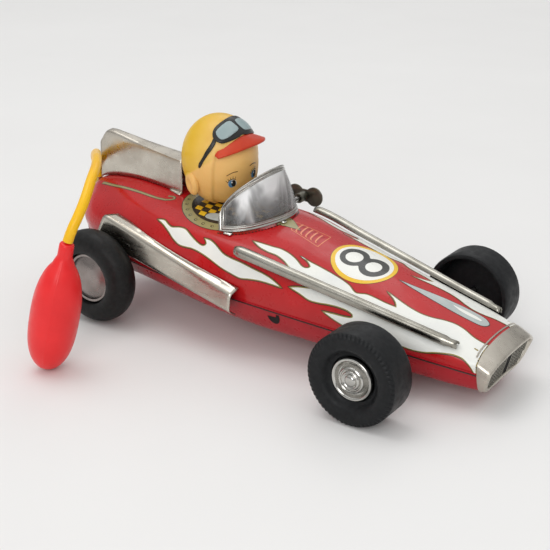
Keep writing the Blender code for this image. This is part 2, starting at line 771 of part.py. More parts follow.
def gear_outline(centre, teeth, phase):
    """Outline of a spur gear with thin straight-sided teeth; `phase` is the first tooth's angle."""
    pitch_radius = GEAR_MODULE * teeth / 2
    tip = pitch_radius + 0.72 * GEAR_MODULE
    root = pitch_radius - 1.05 * GEAR_MODULE
    step = 2 * math.pi / teeth
    tip_half = 0.11 * GEAR_MODULE * math.pi / tip
    root_half = 0.27 * GEAR_MODULE * math.pi / root
    outline = []
    for k in range(teeth):
        middle = phase + k * step
        for radius, turn in ((root, -root_half), (tip, -tip_half), (tip, tip_half), (root, root_half)):
            angle = middle + turn
            outline.append((centre[0] + radius * math.cos(angle), centre[1] + radius * math.sin(angle)))
    return outline


def mesh_phase(phase, teeth, direction, other_teeth):
    """Angle of a gear's first tooth so that it fits the gear it meets.

    `phase` and `teeth` belong to the first gear and `direction` points from it to the second.
    """
    step = 2 * math.pi / teeth
    other_step = 2 * math.pi / other_teeth
    offset = ((direction - phase) / step) % 1.0
    return direction + math.pi + (offset + 0.5) * other_step


def circle_meeting(first, first_distance, second, second_distance, upper=True):
    """The point at given distances from two others, above or below the line between them."""
    span = math.dist(first, second)
    along = (first_distance ** 2 - second_distance ** 2 + span ** 2) / (2 * span)
    height = math.sqrt(max(first_distance ** 2 - along ** 2, 0.0))
    ux = (second[0] - first[0]) / span
    uz = (second[1] - first[1]) / span
    sign = 1.0 if upper else -1.0
    return (first[0] + ux * along - sign * uz * height, first[1] + uz * along + sign * ux * height)


# ---------------------------------------------------------------- clockwork layout

ARBOR = (KEY_X, KEY_Z)
REAR_AXIS = (REAR_AXLE_X, REAR_TYRE_RADIUS)


def train_centres():
    """Work out where the wheels of the going train turn, from the arbor back to the axle."""
    towards = Vector((REAR_AXIS[0] - ARBOR[0], REAR_AXIS[1] - ARBOR[1])).normalized()
    first_step = GEAR_MODULE * (GREAT_WHEEL_TEETH + SECOND_PINION_TEETH) / 2
    second_step = GEAR_MODULE * (SECOND_WHEEL_TEETH + THIRD_PINION_TEETH) / 2
    second = (ARBOR[0] + towards.x * first_step, ARBOR[1] + towards.y * first_step)
    third = (second[0] + towards.x * second_step, second[1] + towards.y * second_step)
    third_reach = GEAR_MODULE * (THIRD_WHEEL_TEETH + IDLER_TEETH) / 2
    axle_reach = GEAR_MODULE * (IDLER_TEETH + AXLE_PINION_TEETH) / 2
    idler = circle_meeting(third, third_reach, REAR_AXIS, axle_reach, upper=False)
    return second, third, idler


def direction(first, second):
    """Angle of the line from one centre to another."""
    return math.atan2(second[1] - first[1], second[0] - first[0])


def gear(name, look, centre, teeth, phase, y_low, y_high, bore):
    """Make a spur gear with a round bore."""
    outline = gear_outline(centre, teeth, phase)
    hole = ((centre[0], centre[1], bore, 12),)
    return plate(name, look, outline, y_low, y_high, hole, (centre[0], 0.0, centre[1]), 20.0)


def staff(name, look, centre, teeth, phase, pinion_y):
    """Make a staff that runs between the plates, with its pinion cut on it."""
    made = rod(name, look, centre, -PLATE_Y - 1.0, PLATE_Y + 1.0, STAFF_RADIUS)
    outline = gear_outline(centre, teeth, phase)
    low, high = pinion_y
    pinion = plate("join_" + name, look, outline, low, high, (), (centre[0], 0.0, centre[1]), 20.0)
    add_cut(made, as_guide(pinion), "UNION")
    return made


def make_train(brass, steel):
    """Make the going train, in mesh, from the great wheel to the rear axle's pinion."""
    second, third, idler = train_centres()
    half = GEAR_WIDTH / 2
    reach = PINION_WIDTH / 2

    great_phase = 0.0
    y = GREAT_WHEEL_Y
    gear("great_wheel", brass, ARBOR, GREAT_WHEEL_TEETH, great_phase, y - half, y + half, AXLE_RADIUS + GAP)
    second_phase = mesh_phase(great_phase, GREAT_WHEEL_TEETH, direction(ARBOR, second), SECOND_PINION_TEETH)
    staff("second_staff", steel, second, SECOND_PINION_TEETH, second_phase, (y - reach, y + half))

    y = SECOND_WHEEL_Y
    bore = STAFF_RADIUS + GAP
    gear("second_wheel", brass, second, SECOND_WHEEL_TEETH, 0.0, y - half, y + half, bore)
    third_phase = mesh_phase(0.0, SECOND_WHEEL_TEETH, direction(second, third), THIRD_PINION_TEETH)
    staff("third_staff", steel, third, THIRD_PINION_TEETH, third_phase, (y - reach, y + reach))

    y = THIRD_WHEEL_Y
    gear("third_wheel", brass, third, THIRD_WHEEL_TEETH, 0.0, y - half, y + half, bore)
    idler_phase = mesh_phase(0.0, THIRD_WHEEL_TEETH, direction(third, idler), IDLER_TEETH)
    staff("idler_staff", steel, idler, IDLER_TEETH, idler_phase, (y - reach, y + reach))
    axle_phase = mesh_phase(idler_phase, IDLER_TEETH, direction(idler, REAR_AXIS), AXLE_PINION_TEETH)
    gear("axle_pinion", brass, REAR_AXIS, AXLE_PINION_TEETH, axle_phase, y - reach, y + reach, AXLE_RADIUS + GAP)


def make_plates(tin):
    """Make the two motor plates and the four pillars between them."""
    second, third, idler = train_centres()
    x = REAR_AXLE_X
    outline = (
        (x - 11.0, 24.0),
        (x + 4.0, 21.8),
        (x + 48.0, 22.0),
        (x + 74.0, 34.0),
        (x + 74.0, 57.0),
        (x + 64.0, 60.5),
        (x + 14.0, 61.5),
        (x - 11.0, 53.0),
    )
    staff_hole = STAFF_RADIUS + RUNNING_GAP
    axle_hole = AXLE_RADIUS + RUNNING_GAP
    holes = (
        (*ARBOR, axle_hole, 12),
        (*REAR_AXIS, axle_hole, 12),
        (*second, staff_hole, 12),
        (*third, staff_hole, 12),
        (*idler, staff_hole, 12),
    )
    for side, word in ((1, "left"), (-1, "right")):
        low = min(side * (PLATE_Y - SHEET / 2), side * (PLATE_Y + SHEET / 2))
        plate("motor_plate_" + word, tin, outline, low, low + SHEET, holes, (x + 30.0, low, 40.0))
    reach = PLATE_Y - SHEET / 2 - GAP
    pillars = ((x - 7.0, 50.0), (x + 70.0, 38.0), (x + 45.0, 26.5), (x + 20.0, 58.5))
    for number, centre in enumerate(pillars, 1):
        rod("motor_pillar_%d" % number, tin, centre, -reach, reach, PILLAR_RADIUS, 10)


def make_mainspring(steel):
    """Make the spiral mainspring round the winding arbor."""
    turns = 4.0
    steps = 80
    inner, outer = 2.8, 9.6
    rows = []
    for k in range(steps + 1):
        t = k / steps
        angle = 2 * math.pi * turns * t
        radius = inner + (outer - inner) * t
        unit = (math.cos(angle), math.sin(angle))
        corners = []
        for r, y in ((radius, 2.6), (radius + 0.45, 2.6), (radius + 0.45, 10.4), (radius, 10.4)):
            corners.append((ARBOR[0] + unit[0] * r, y, ARBOR[1] + unit[1] * r))
        rows.append(corners)
    bm = grid_mesh(rows, close_columns=True)
    close_ends(bm, len(rows[0]))
    finish_mesh(bm, "mainspring", steel, (ARBOR[0], 6.5, ARBOR[1]))


def make_winding(steel, dark):
    """Make the winding arbor, its ratchet and click, the bush in the body side and the wing key."""
    rod("winding_arbor", steel, ARBOR, -PLATE_Y - 1.0, KEY_Y - 2.0, AXLE_RADIUS)
    teeth = 10
    outline = []
    for k in range(teeth):
        angle = 2 * math.pi * k / teeth
        outline.append((ARBOR[0] + 6.0 * math.cos(angle), ARBOR[1] + 6.0 * math.sin(angle)))
        back = angle + 0.12
        outline.append((ARBOR[0] + 4.7 * math.cos(back), ARBOR[1] + 4.7 * math.sin(back)))
    hole = ((*ARBOR, AXLE_RADIUS + GAP, 12),)
    plate("ratchet_wheel", steel, outline, 0.3, 1.5, hole, (ARBOR[0], 0.0, ARBOR[1]))

    pivot = click_pivot()
    click = (
        (ARBOR[0] + 6.3, ARBOR[1] - 0.6),
        (ARBOR[0] + 6.6, ARBOR[1] - 3.2),
        (pivot[0] - 1.2, pivot[1] - 0.1),
        (pivot[0] - 0.6, pivot[1] - 1.1),
        (pivot[0] + 0.5, pivot[1] - 1.2),
        (pivot[0] + 1.3, pivot[1] - 0.3),
        (pivot[0] + 1.1, pivot[1] + 0.7),
        (ARBOR[0] + 7.0, ARBOR[1] - 0.9),
    )
    plate("ratchet_click", steel, click, 0.3, 1.5, (), (pivot[0], 0.0, pivot[1]))

    bush = (
        (AXLE_RADIUS + RUNNING_GAP, 29.5),
        (3.0, 29.5),
        (3.0, 37.6),
        (4.6, 37.6),
        (4.6, 38.4),
        (3.2, 39.4),
        (AXLE_RADIUS + RUNNING_GAP, 39.4),
    )
    turned("key_bush", dark, bush, ARBOR, 16)

    wing = []
    for side in (1, -1):
        lobe = (ARBOR[0] + side * KEY_LOBE_OFFSET, ARBOR[1])
        start = -140 if side == 1 else 40
        wing += arc(lobe, KEY_LOBE_RADIUS, start, start + 280, 14)
    key = plate("winding_key", dark, wing, KEY_Y - 0.6, KEY_Y + 0.6, (), (ARBOR[0], KEY_Y, ARBOR[1]))
    barrel = as_guide(rod("join_key_barrel", dark, ARBOR, KEY_Y - 7.0, KEY_Y + 1.6, 2.9, 16))
    socket = as_guide(rod("cut_key_socket", dark, ARBOR, KEY_Y - 9.0, KEY_Y - 1.7, AXLE_RADIUS + GAP, 12, 0.05))
    add_cut(key, barrel, "UNION")
    add_cut(key, socket)


def click_pivot():
    """Where the click turns on the great wheel."""
    return (ARBOR[0] + 7.6, ARBOR[1] - 4.6)


def make_brake(steel, rubber, brass):
    """Make the nipple, the bellows and the lever that stops the third wheel."""
    vertical_rod("hose_nipple", brass, (NIPPLE_X, 0.0), 57.5, 63.4, NIPPLE_RADIUS)
    bellows_x = REAR_AXLE_X - 31.0
    rows = []
    folds = 5
    low, high = 46.0, 57.2
    for k in range(2 * folds + 1):
        radius = 4.6 if k % 2 == 0 else 3.4
        z = low + (high - low) * k / (2 * folds)
        loop = []
        for j in range(12):
            angle = 2 * math.pi * j / 12
            loop.append((bellows_x + radius * math.cos(angle), radius * math.sin(angle), z))
        rows.append(loop)
    bm = grid_mesh(rows, close_columns=True)
    close_ends(bm, len(rows[0]))
    finish_mesh(bm, "air_bellows", rubber, (bellows_x, 0, low))

    pivot = (REAR_AXLE_X - 6.0, 38.0)
    x = REAR_AXLE_X
    y = THIRD_WHEEL_Y
    outline = (
        (x + 12.4, 45.6),
        (x + 11.4, 46.0),
        (x - 6.0, 41.4),
        (x - 16.0, 42.6),
        (x - 33.0, 45.0),
        (x - 33.0, 43.2),
        (x - 16.0, 38.6),
        (x - 6.0, 34.8),
        (x + 13.0, 42.4),
    )
    hole = ((*pivot, 1.0 + RUNNING_GAP, 12),)
    lever = plate("brake_lever", steel, outline, y - 0.7, y + 0.7, hole, (pivot[0], y, pivot[1]))
    foot = (
        (x - 33.0, 45.0),
        (x - 33.0, 44.2),
        (x - 28.6, 43.6),
        (x - 28.6, 44.4),
    )
    joined = as_guide(plate("join_brake_foot", steel, foot, y - 0.7, 3.0))
    add_cut(lever, joined, "UNION")
    reach = PLATE_Y - SHEET / 2 - GAP
    rod("brake_pin", steel, pivot, -reach, y + 2.2, 1.0)


def make_front_bracket(tin):
    """Make the folded bracket that carries the front axle inside the body."""
    x, z = FRONT_AXLE_X, FRONT_TYRE_RADIUS
    for side, word in ((1, "left"), (-1, "right")):
        outline = [(x - 7.0, 11.6), (x + 7.0, 11.6)] + arc((x, z), 4.2, -10, 190, 8)
        low = min(side * 15.0, side * (15.0 + SHEET))
        hole = ((x, z, AXLE_RADIUS + RUNNING_GAP, 12),)
        plate("front_bearing_" + word, tin, outline, low, low + SHEET, hole, (x, low, z))


# ---------------------------------------------------------------- air line


def smooth_points(route, count):
    """Read evenly spaced points from a smooth curve through a route."""
    nodes = [Vector(point) for point in route]
    dense = []
    for i in range(len(nodes) - 1):
        before = nodes[max(i - 1, 0)]
        after = nodes[min(i + 2, len(nodes) - 1)]
        start_slope = (nodes[i + 1] - before) / 2
        end_slope = (after - nodes[i]) / 2
        for k in range(12):
            dense.append(hermite(nodes[i], start_slope, nodes[i + 1], end_slope, k / 12))
    dense.append(nodes[-1])
    lengths = [0.0]
    for first, second in zip(dense, dense[1:]):
        lengths.append(lengths[-1] + (second - first).length)
    points = []
    for k in range(count):
        wanted = lengths[-1] * k / (count - 1)
        i = 0
        while i < len(dense) - 2 and lengths[i + 1] < wanted:
            i += 1
        part = (wanted - lengths[i]) / (lengths[i + 1] - lengths[i])
        points.append(dense[i].lerp(dense[i + 1], part))
    return points


def make_hose(vinyl):
    """Make the air hose as one smooth tube from the tail to the bulb."""
    curve = bpy.data.curves.new("air_hose", "CURVE")
    curve.dimensions = "3D"
    curve.bevel_depth = HOSE_DIAMETER / 2 * MM
    curve.bevel_resolution = 2
    curve.use_fill_caps = True
    points = smooth_points(HOSE_ROUTE, HOSE_POINTS)
    spline = curve.splines.new("POLY")
    spline.points.add(len(points) - 1)
    for slot, point in zip(spline.points, points):
        slot.co = ((REAR_AXLE_X + point.x) * MM, point.y * MM, point.z * MM, 1.0)
    made = bpy.data.objects.new("air_hose", curve)
    curve.materials.append(vinyl)
    bpy.context.scene.collection.objects.link(made)


def make_bulb(vinyl):
    """Make the squeeze bulb, which stands on its round end and leans on the hose."""
    bottom = Vector(BULB_BOTTOM)
    top = Vector(BULB_NECK_TOP)
    axis = (top - bottom).normalized()
    length = (top - bottom).length
    shoulder = length - 8.4
    across = axis.cross(Vector((0, 1, 0))).normalized()
    third = axis.cross(across)
    profile = []
    steps = 12
    for k in range(1, steps):
        part = (1 - math.cos(math.pi * k / steps)) / 2
        power = 2.9 if part < 0.5 else 1.9
        radius = BULB_RADIUS * math.sqrt(1 - abs(2 * part - 1) ** power)
        if radius > 5.0 or part < 0.5:
            profile.append((radius, shoulder * part))
    profile.append((4.0, shoulder + 1.0))
    profile.append((3.9, length - 1.0))
    profile.append((3.0, length))
    sides = 20
    rows = []
    for radius, along in profile:
        loop = []
        for j in range(sides):
            angle = 2 * math.pi * j / sides
            point = bottom + axis * along + (across * math.cos(angle) + third * math.sin(angle)) * radius
            loop.append(point)
        rows.append(loop)
    bm = grid_mesh(rows, close_columns=True)
    corners = list(bm.verts)
    tip = bm.verts.new(bottom)
    for j in range(sides):
        bm.faces.new((tip, corners[(j + 1) % sides], corners[j]))
    bm.faces.new(corners[-sides:])
    finish_mesh(bm, "squeeze_bulb", vinyl, BULB_BOTTOM, 60.0)


# ---------------------------------------------------------------- the car


def build():
    """Make every piece of the car."""
    clear_scene()
    red = material("red_print", (0.55, 0.012, 0.02), 0.22)
    tin = material("plated_tin", (0.52, 0.49, 0.45), 0.32, 1.0)
    chrome = material("chrome", (0.75, 0.75, 0.75), 0.1, 1.0)
    steel = material("steel", (0.35, 0.34, 0.33), 0.35, 1.0)
    dark = material("dark_steel", (0.09, 0.09, 0.085), 0.4, 1.0)
    brass = material("brass", (0.62, 0.44, 0.18), 0.3, 1.0)
    rubber = material("black_rubber", (0.02, 0.02, 0.022), 0.6)
    head_vinyl = material("head_vinyl", (0.78, 0.47, 0.2), 0.4)
    hose_vinyl = material("yellow_vinyl", (0.85, 0.5, 0.02), 0.4)
    bulb_vinyl = material("red_vinyl", (0.72, 0.03, 0.03), 0.35)
    clear = material("clear_plastic", (0.8, 0.82, 0.83), 0.08)

    make_body(red, red)
    make_nose(tin, dark)
    make_fin(tin)
    make_windscreen(clear, chrome)
    make_strips(tin)
    make_pods(tin)
    make_head(head_vinyl)
    make_rear_wheels(rubber, tin, steel)
    make_front_wheels(rubber, chrome, steel)
    make_front_bracket(tin)
    make_plates(tin)
    make_train(brass, steel)
    make_mainspring(steel)
    make_winding(steel, dark)
    make_brake(steel, rubber, brass)
    make_hose(hose_vinyl)
    make_bulb(bulb_vinyl)


build()
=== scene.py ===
"""Looks for a wind-up tin racing car with a vinyl-headed driver, an air hose and a squeeze bulb.

Lengths are in millimetres, measured from the rear axle along X, from the middle along Y and from
the ground along Z.  `world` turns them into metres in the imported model's frame.
"""

import json
import math

import bmesh
import bpy
from mathutils import Matrix, Vector

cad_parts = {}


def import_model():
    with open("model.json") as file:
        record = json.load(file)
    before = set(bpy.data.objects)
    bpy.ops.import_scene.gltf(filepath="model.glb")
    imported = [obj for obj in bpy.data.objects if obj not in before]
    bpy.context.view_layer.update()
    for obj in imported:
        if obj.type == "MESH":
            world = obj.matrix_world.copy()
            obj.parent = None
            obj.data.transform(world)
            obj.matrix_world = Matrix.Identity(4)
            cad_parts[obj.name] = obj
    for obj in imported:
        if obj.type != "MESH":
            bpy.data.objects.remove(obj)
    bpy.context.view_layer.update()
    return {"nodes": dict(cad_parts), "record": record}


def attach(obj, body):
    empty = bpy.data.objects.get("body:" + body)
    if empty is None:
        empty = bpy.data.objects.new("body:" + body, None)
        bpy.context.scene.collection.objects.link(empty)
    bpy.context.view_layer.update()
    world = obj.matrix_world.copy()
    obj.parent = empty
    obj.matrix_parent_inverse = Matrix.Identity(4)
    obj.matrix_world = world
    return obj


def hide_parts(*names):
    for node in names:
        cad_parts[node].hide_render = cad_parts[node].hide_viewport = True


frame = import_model()

MM = 0.001
REAR_AXLE = -91.0
FRONT_AXLE = 172.4
REAR_TYRE = 25.5
FRONT_TYRE = 22.5

# Middle and round radius of the rear tyres, and the front tyres' inner and outer faces, across the car.
REAR_TYRE_MIDDLE = 43.5
REAR_TYRE_ROUND = 8.25
FRONT_INNER = 49.3
FRONT_OUTER = 67.8
SIDES = ((1, "left"), (-1, "right"))

# Prints are placed by a running length that is positive towards the driver's right.
PRINT_SIDES = (("right", 1), ("left", -1))


def world(x, y, z):
    """A point in metres from millimetres ahead of the rear axle."""
    return Vector(((REAR_AXLE + x) * MM, y * MM, z * MM))


# ================================================================ camera, floor and light

CAMERA_AZIMUTH = math.radians(34.61)
CAMERA_ELEVATION = math.radians(22.22)
CAMERA_DISTANCE = 619.6 * MM
CAMERA_TARGET = (78.3, 11.8, 25.0)
CAMERA_LENS = 75.83
FLOOR_HALF = 8.0
FLOOR_DROP = 0.0002

# Brightness of the even light, by height from straight below (0) to straight above (1).
SKY = ((0.0, 0.77), (0.10, 0.73), (0.20, 0.24), (0.60, 0.73), (1.0, 0.96))

# Name, place and target in metres, size in metres, power in watts.
SOFT_BOXES = (
    ("key_light", (-0.5, -0.1, 1.9), (0.0, 0.0, 0.0), 1.1, 7.6),
    ("side_light", (0.6, -1.6, 0.9), (0.0, 0.0, 0.03), 0.9, 10.5),
    ("back_light", (-0.6, 1.4, 1.5), (0.0, 0.0, 0.03), 0.8, 2.5),
)


def add_object(name, data):
    """Put a new object with this data into the scene."""
    made = bpy.data.objects.new(name, data)
    bpy.context.scene.collection.objects.link(made)
    return made


def look_at(made, target, location):
    """Place something so that its -Z axis points at a target."""
    made.location = location
    made.rotation_euler = (target - location).to_track_quat("-Z", "Y").to_euler()


def make_camera():
    """Put the camera at the front right, a little above the car."""
    target = world(*CAMERA_TARGET)
    back = Vector((
        math.sin(CAMERA_AZIMUTH) * math.cos(CAMERA_ELEVATION),
        -math.cos(CAMERA_AZIMUTH) * math.cos(CAMERA_ELEVATION),
        math.sin(CAMERA_ELEVATION),
    ))
    data = bpy.data.cameras.new("camera")
    data.lens = CAMERA_LENS
    data.sensor_width = 36.0
    camera = add_object("camera", data)
    look_at(camera, target, target + back * CAMERA_DISTANCE)
    bpy.context.scene.camera = camera


def area_light(name, location, target, size, power):
    """Add a soft square light aimed at a point."""
    data = bpy.data.lights.new(name, "AREA")
    data.shape = "SQUARE"
    data.size = size
    data.energy = power
    look_at(add_object(name, data), Vector(target), Vector(location))


def make_studio():
    """Add the floor, the world's even light and the soft boxes."""
    corners = [(x * FLOOR_HALF, y * FLOOR_HALF, 0) for x, y in ((-1, -1), (1, -1), (1, 1), (-1, 1))]
    floor = mesh_piece("floor", corners, [(0, 1, 2, 3)], floor_material(), None)
    floor.location.z = -FLOOR_DROP
    sky = bpy.data.worlds.new("studio")
    sky.use_nodes = True
    tree = sky.node_tree
    place = tree.nodes.new("ShaderNodeTexCoord")
    split = tree.nodes.new("ShaderNodeSeparateXYZ")
    tree.links.new(place.outputs["Generated"], split.inputs["Vector"])
    shade = ramp(sky, split.outputs["Z"], [(height, grey(value)) for height, value in SKY])
    tree.links.new(shade, tree.nodes["Background"].inputs["Color"])
    bpy.context.scene.world = sky
    bpy.context.scene.view_settings.view_transform = "Standard"
    for box in SOFT_BOXES:
        area_light(*box)


# ================================================================ mesh tools

def mesh_piece(name, points, faces, look, body, smooth=False, sharp_degrees=40.0):
    """Make a piece from points in metres and ride it on a body."""
    mesh = bpy.data.meshes.new(name)
    mesh.from_pydata([tuple(point) for point in points], [], faces)
    mesh.validate()
    bm = bmesh.new()
    bm.from_mesh(mesh)
    bmesh.ops.remove_doubles(bm, verts=bm.verts, dist=2e-6)
    bm.to_mesh(mesh)
    bm.free()
    if smooth:
        mesh.shade_smooth()
        mesh.set_sharp_from_angle(angle=math.radians(sharp_degrees))
    mesh.materials.append(look)
    made = add_object(name, mesh)
    if body:
        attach(made, body)
    return made


def grid_faces(rows, columns, close_rows, close_columns):
    """Faces of a grid of points listed row by row."""
    faces = []
    for i in range(rows if close_rows else rows - 1):
        for j in range(columns if close_columns else columns - 1):
            here, above = i * columns, (i + 1) % rows * columns
            j2 = (j + 1) % columns
            faces.append((here + j, here + j2, above + j2, above + j))
    return faces


def skin(rows, close_rows=False, close_columns=False, caps=False):
    """Points and faces over rows of points, with flat ends if `caps` is set."""
    points = [point for row in rows for point in row]
    columns = len(rows[0])
    faces = grid_faces(len(rows), columns, close_rows, close_columns)
    if caps:
        faces.append(tuple(range(columns - 1, -1, -1)))
        faces.append(tuple(range(len(points) - columns, len(points))))
    return points, faces


def grid_piece(
    name, rows, look, body, close_rows=False, close_columns=False, caps=False, sharp_degrees=40.0,
):
    """Skin rows of points in metres."""
    points, faces = skin(rows, close_rows, close_columns, caps)
    return mesh_piece(name, points, faces, look, body, True, sharp_degrees)


def turns(count):
    """Evenly spaced angles round a full turn."""
    return [2 * math.pi * k / count for k in range(count)]


def turned(name, profile, axis_xz, look, body, segments=96, closed=True, sharp_degrees=32.0):
    """Turn a profile of (radius, y) in millimetres about an axis along Y."""
    x, z = axis_xz
    rows = []
    for radius, y in profile:
        rows.append([world(x + radius * math.cos(a), y, z + radius * math.sin(a)) for a in turns(segments)])
    return grid_piece(name, rows, look, body, closed, True, False, sharp_degrees)


def rounded(points, radius):
    """Round the corners of a closed outline of 2-D points."""
    result = []
    count = len(points)
    steps = 3
    for k in range(count):
        here = Vector(points[k])
        before = Vector(points[k - 1]) - here
        after = Vector(points[(k + 1) % count]) - here
        reach = min(radius, before.length * 0.45, after.length * 0.45)
        start = here + before.normalized() * reach
        end = here + after.normalized() * reach
        for i in range(steps + 1):
            t = i / steps
            result.append(tuple(start * (1 - t) ** 2 + here * 2 * t * (1 - t) + end * t * t))
    return result


def smooth_line(points, count, closed=False):
    """Evenly spaced points of a smooth curve through the given ones."""
    nodes = [Vector(point) for point in points]
    total = len(nodes)
    dense = []
    for i in range(total if closed else total - 1):
        before = nodes[(i - 1) % total] if closed else nodes[max(i - 1, 0)]
        start = nodes[i]
        end = nodes[(i + 1) % total]
        after = nodes[(i + 2) % total] if closed else nodes[min(i + 2, total - 1)]
        for k in range(12):
            t = k / 12
            dense.append(0.5 * (
                2 * start + (end - before) * t
                + (2 * before - 5 * start + 4 * end - after) * t * t
                + (3 * start - before - 3 * end + after) * t ** 3
            ))
    dense.append(nodes[0] if closed else nodes[-1])
    lengths = [0.0]
    for first, second in zip(dense, dense[1:]):
        lengths.append(lengths[-1] + (second - first).length)
    spans = count if closed else count - 1
    result = []
    i = 0
    for k in range(count):
        wanted = lengths[-1] * k / spans
        while i < len(dense) - 2 and lengths[i + 1] < wanted:
            i += 1
        part = (wanted - lengths[i]) / max(lengths[i + 1] - lengths[i], 1e-9)
        result.append(dense[i].lerp(dense[i + 1], part))
    return result


def tube_rows(points, radius, sides):
    """Rings of a tube round a path in metres."""
    rows = []
    up = Vector((0.0, 0.0, 1.0))
    side = None
    for k, point in enumerate(points):
        along = (points[min(k + 1, len(points) - 1)] - points[max(k - 1, 0)]).normalized()
        if side is None:
            side = along.cross(up if abs(along.z) < 0.9 else Vector((1.0, 0.0, 0.0))).normalized()
        side = (side - along * side.dot(along)).normalized()
        third = along.cross(side)
        rows.append([point + (side * math.cos(a) + third * math.sin(a)) * radius for a in turns(sides)])
    return rows


# ================================================================ materials

def new_material(name, colour, roughness, metallic=0.0, coat=0.0, coat_roughness=0.05):
    """A Principled material with its constants on the shader's own sockets."""
    look = bpy.data.materials.new(name)
    look.use_nodes = True
    shader = look.node_tree.nodes["Principled BSDF"]
    shader.inputs["Base Color"].default_value = (*colour, 1.0)
    shader.inputs["Roughness"].default_value = roughness
    shader.inputs["Metallic"].default_value = metallic
    shader.inputs["Coat Weight"].default_value = coat
    shader.inputs["Coat Roughness"].default_value = coat_roughness
    look.diffuse_color = (*colour, 1.0)
    return look


def shader_of(look):
    """The Principled shader of a material."""
    return look.node_tree.nodes["Principled BSDF"]


def noise(look, scale, detail=4.0, roughness=0.55, stretch=(1.0, 1.0, 1.0), distortion=0.0):
    """A noise field in object space; `scale` counts features per metre."""
    tree = look.node_tree
    place = tree.nodes.new("ShaderNodeTexCoord")
    shift = tree.nodes.new("ShaderNodeMapping")
    shift.inputs["Scale"].default_value = stretch
    field = tree.nodes.new("ShaderNodeTexNoise")
    field.inputs["Scale"].default_value = scale
    field.inputs["Detail"].default_value = detail
    field.inputs["Roughness"].default_value = roughness
    field.inputs["Distortion"].default_value = distortion
    tree.links.new(place.outputs["Object"], shift.inputs["Vector"])
    tree.links.new(shift.outputs["Vector"], field.inputs["Vector"])
    return field.outputs["Fac"]


def ramp(look, source, stops):
    """Map a field through colour stops of (position, colour)."""
    made = look.node_tree.nodes.new("ShaderNodeValToRGB")
    band = made.color_ramp
    while len(band.elements) < len(stops):
        band.elements.new(0.5)
    for element, (position, colour) in zip(band.elements, stops):
        element.position = position
        element.color = (*colour, 1.0)
    look.node_tree.links.new(source, made.inputs["Fac"])
    return made.outputs["Color"]


def grey(value):
    """A grey colour."""
    return (value, value, value)


def mixed(look, factor, first, second):
    """Mix two colours by a factor socket; each colour is a socket or a tuple."""
    made = look.node_tree.nodes.new("ShaderNodeMix")
    made.data_type = "RGBA"
    for socket, value in ((made.inputs[6], first), (made.inputs[7], second)):
        if isinstance(value, tuple):
            socket.default_value = (*value, 1.0)
        else:
            look.node_tree.links.new(value, socket)
    look.node_tree.links.new(factor, made.inputs[0])
    return made.outputs[2]


def calculate(look, operation, first, second):
    """One step of arithmetic on sockets or numbers; MULTIPLY_ADD adds the node's own third value, 0.5."""
    made = look.node_tree.nodes.new("ShaderNodeMath")
    made.operation = operation
    for socket, value in ((made.inputs[0], first), (made.inputs[1], second)):
        if isinstance(value, (int, float)):
            socket.default_value = value
        else:
            look.node_tree.links.new(value, socket)
    return made.outputs[0]


def place_axis(look, axis):
    """The object's own X, Y or Z place, in metres."""
    tree = look.node_tree
    place = tree.nodes.new("ShaderNodeTexCoord")
    split = tree.nodes.new("ShaderNodeSeparateXYZ")
    tree.links.new(place.outputs["Object"], split.inputs["Vector"])
    return split.outputs["XYZ".index(axis)]


def set_colour(look, socket):
    """Drive the base colour."""
    look.node_tree.links.new(socket, shader_of(look).inputs["Base Color"])


def set_roughness(look, source, low, high):
    """Drive the roughness between two values from the middle of a field's range."""
    shade = ramp(look, source, [(0.35, grey(low)), (0.65, grey(high))])
    look.node_tree.links.new(shade, shader_of(look).inputs["Roughness"])


def set_bump(look, source, depth, strength):
    """Drive the normal from a height field; depth is in metres."""
    tree = look.node_tree
    bump = tree.nodes.new("ShaderNodeBump")
    bump.inputs["Distance"].default_value = depth
    bump.inputs["Strength"].default_value = strength
    tree.links.new(source, bump.inputs["Height"])
    tree.links.new(bump.outputs["Normal"], shader_of(look).inputs["Normal"])


def floor_material():
    """Matt pale paper."""
    look = new_material("floor_paper", (0.80, 0.795, 0.785), 0.85)
    set_colour(look, ramp(look, noise(look, 6.0), [(0.3, (0.79, 0.785, 0.775)), (0.7, (0.81, 0.805, 0.795))]))
    return look


def ink(name, colour, shade, gloss=0.9):
    """Printed and lacquered tin: colour with a soft mottle, sparse pin marks and orange-peel gloss."""
    look = new_material(name, colour, 0.32, 0.0, 0.35 * gloss, 0.08)
    shader_of(look).inputs["Specular IOR Level"].default_value = 0.24
    base = ramp(look, noise(look, 55.0, 3.0), [(0.3, shade), (0.7, colour)])
    marks = ramp(look, noise(look, 900.0, 2.0, 0.5), [(0.775, grey(0.0)), (0.80, grey(1.0))])
    set_colour(look, mixed(look, marks, base, tuple(0.35 * value for value in colour)))
    set_bump(look, noise(look, 140.0, 2.0), 0.00006, 0.5)
    set_roughness(look, noise(look, 260.0, 5.0), 0.24, 0.42)
    return look


def plated(name, colour, stain, rough=(0.2, 0.42), stretch=(1.0, 1.0, 1.0)):
    """Plated sheet: warm grey metal with cloudy stains, fine scratches and pitting."""
    look = new_material(name, colour, 0.3, 1.0)
    clouds = noise(look, 70.0, 6.0, 0.6)
    spots = ramp(look, noise(look, 420.0, 4.0, 0.65), [(0.68, grey(0.0)), (0.76, grey(1.0))])
    tone = ramp(look, clouds, [(0.32, stain), (0.6, colour)])
    set_colour(look, mixed(look, spots, tone, tuple(0.55 * value for value in stain)))
    set_roughness(look, noise(look, 160.0, 8.0, 0.7, stretch), rough[0], rough[1])
    set_bump(look, noise(look, 240.0, 3.0, 0.5, stretch), 0.00003, 0.35)
    return look


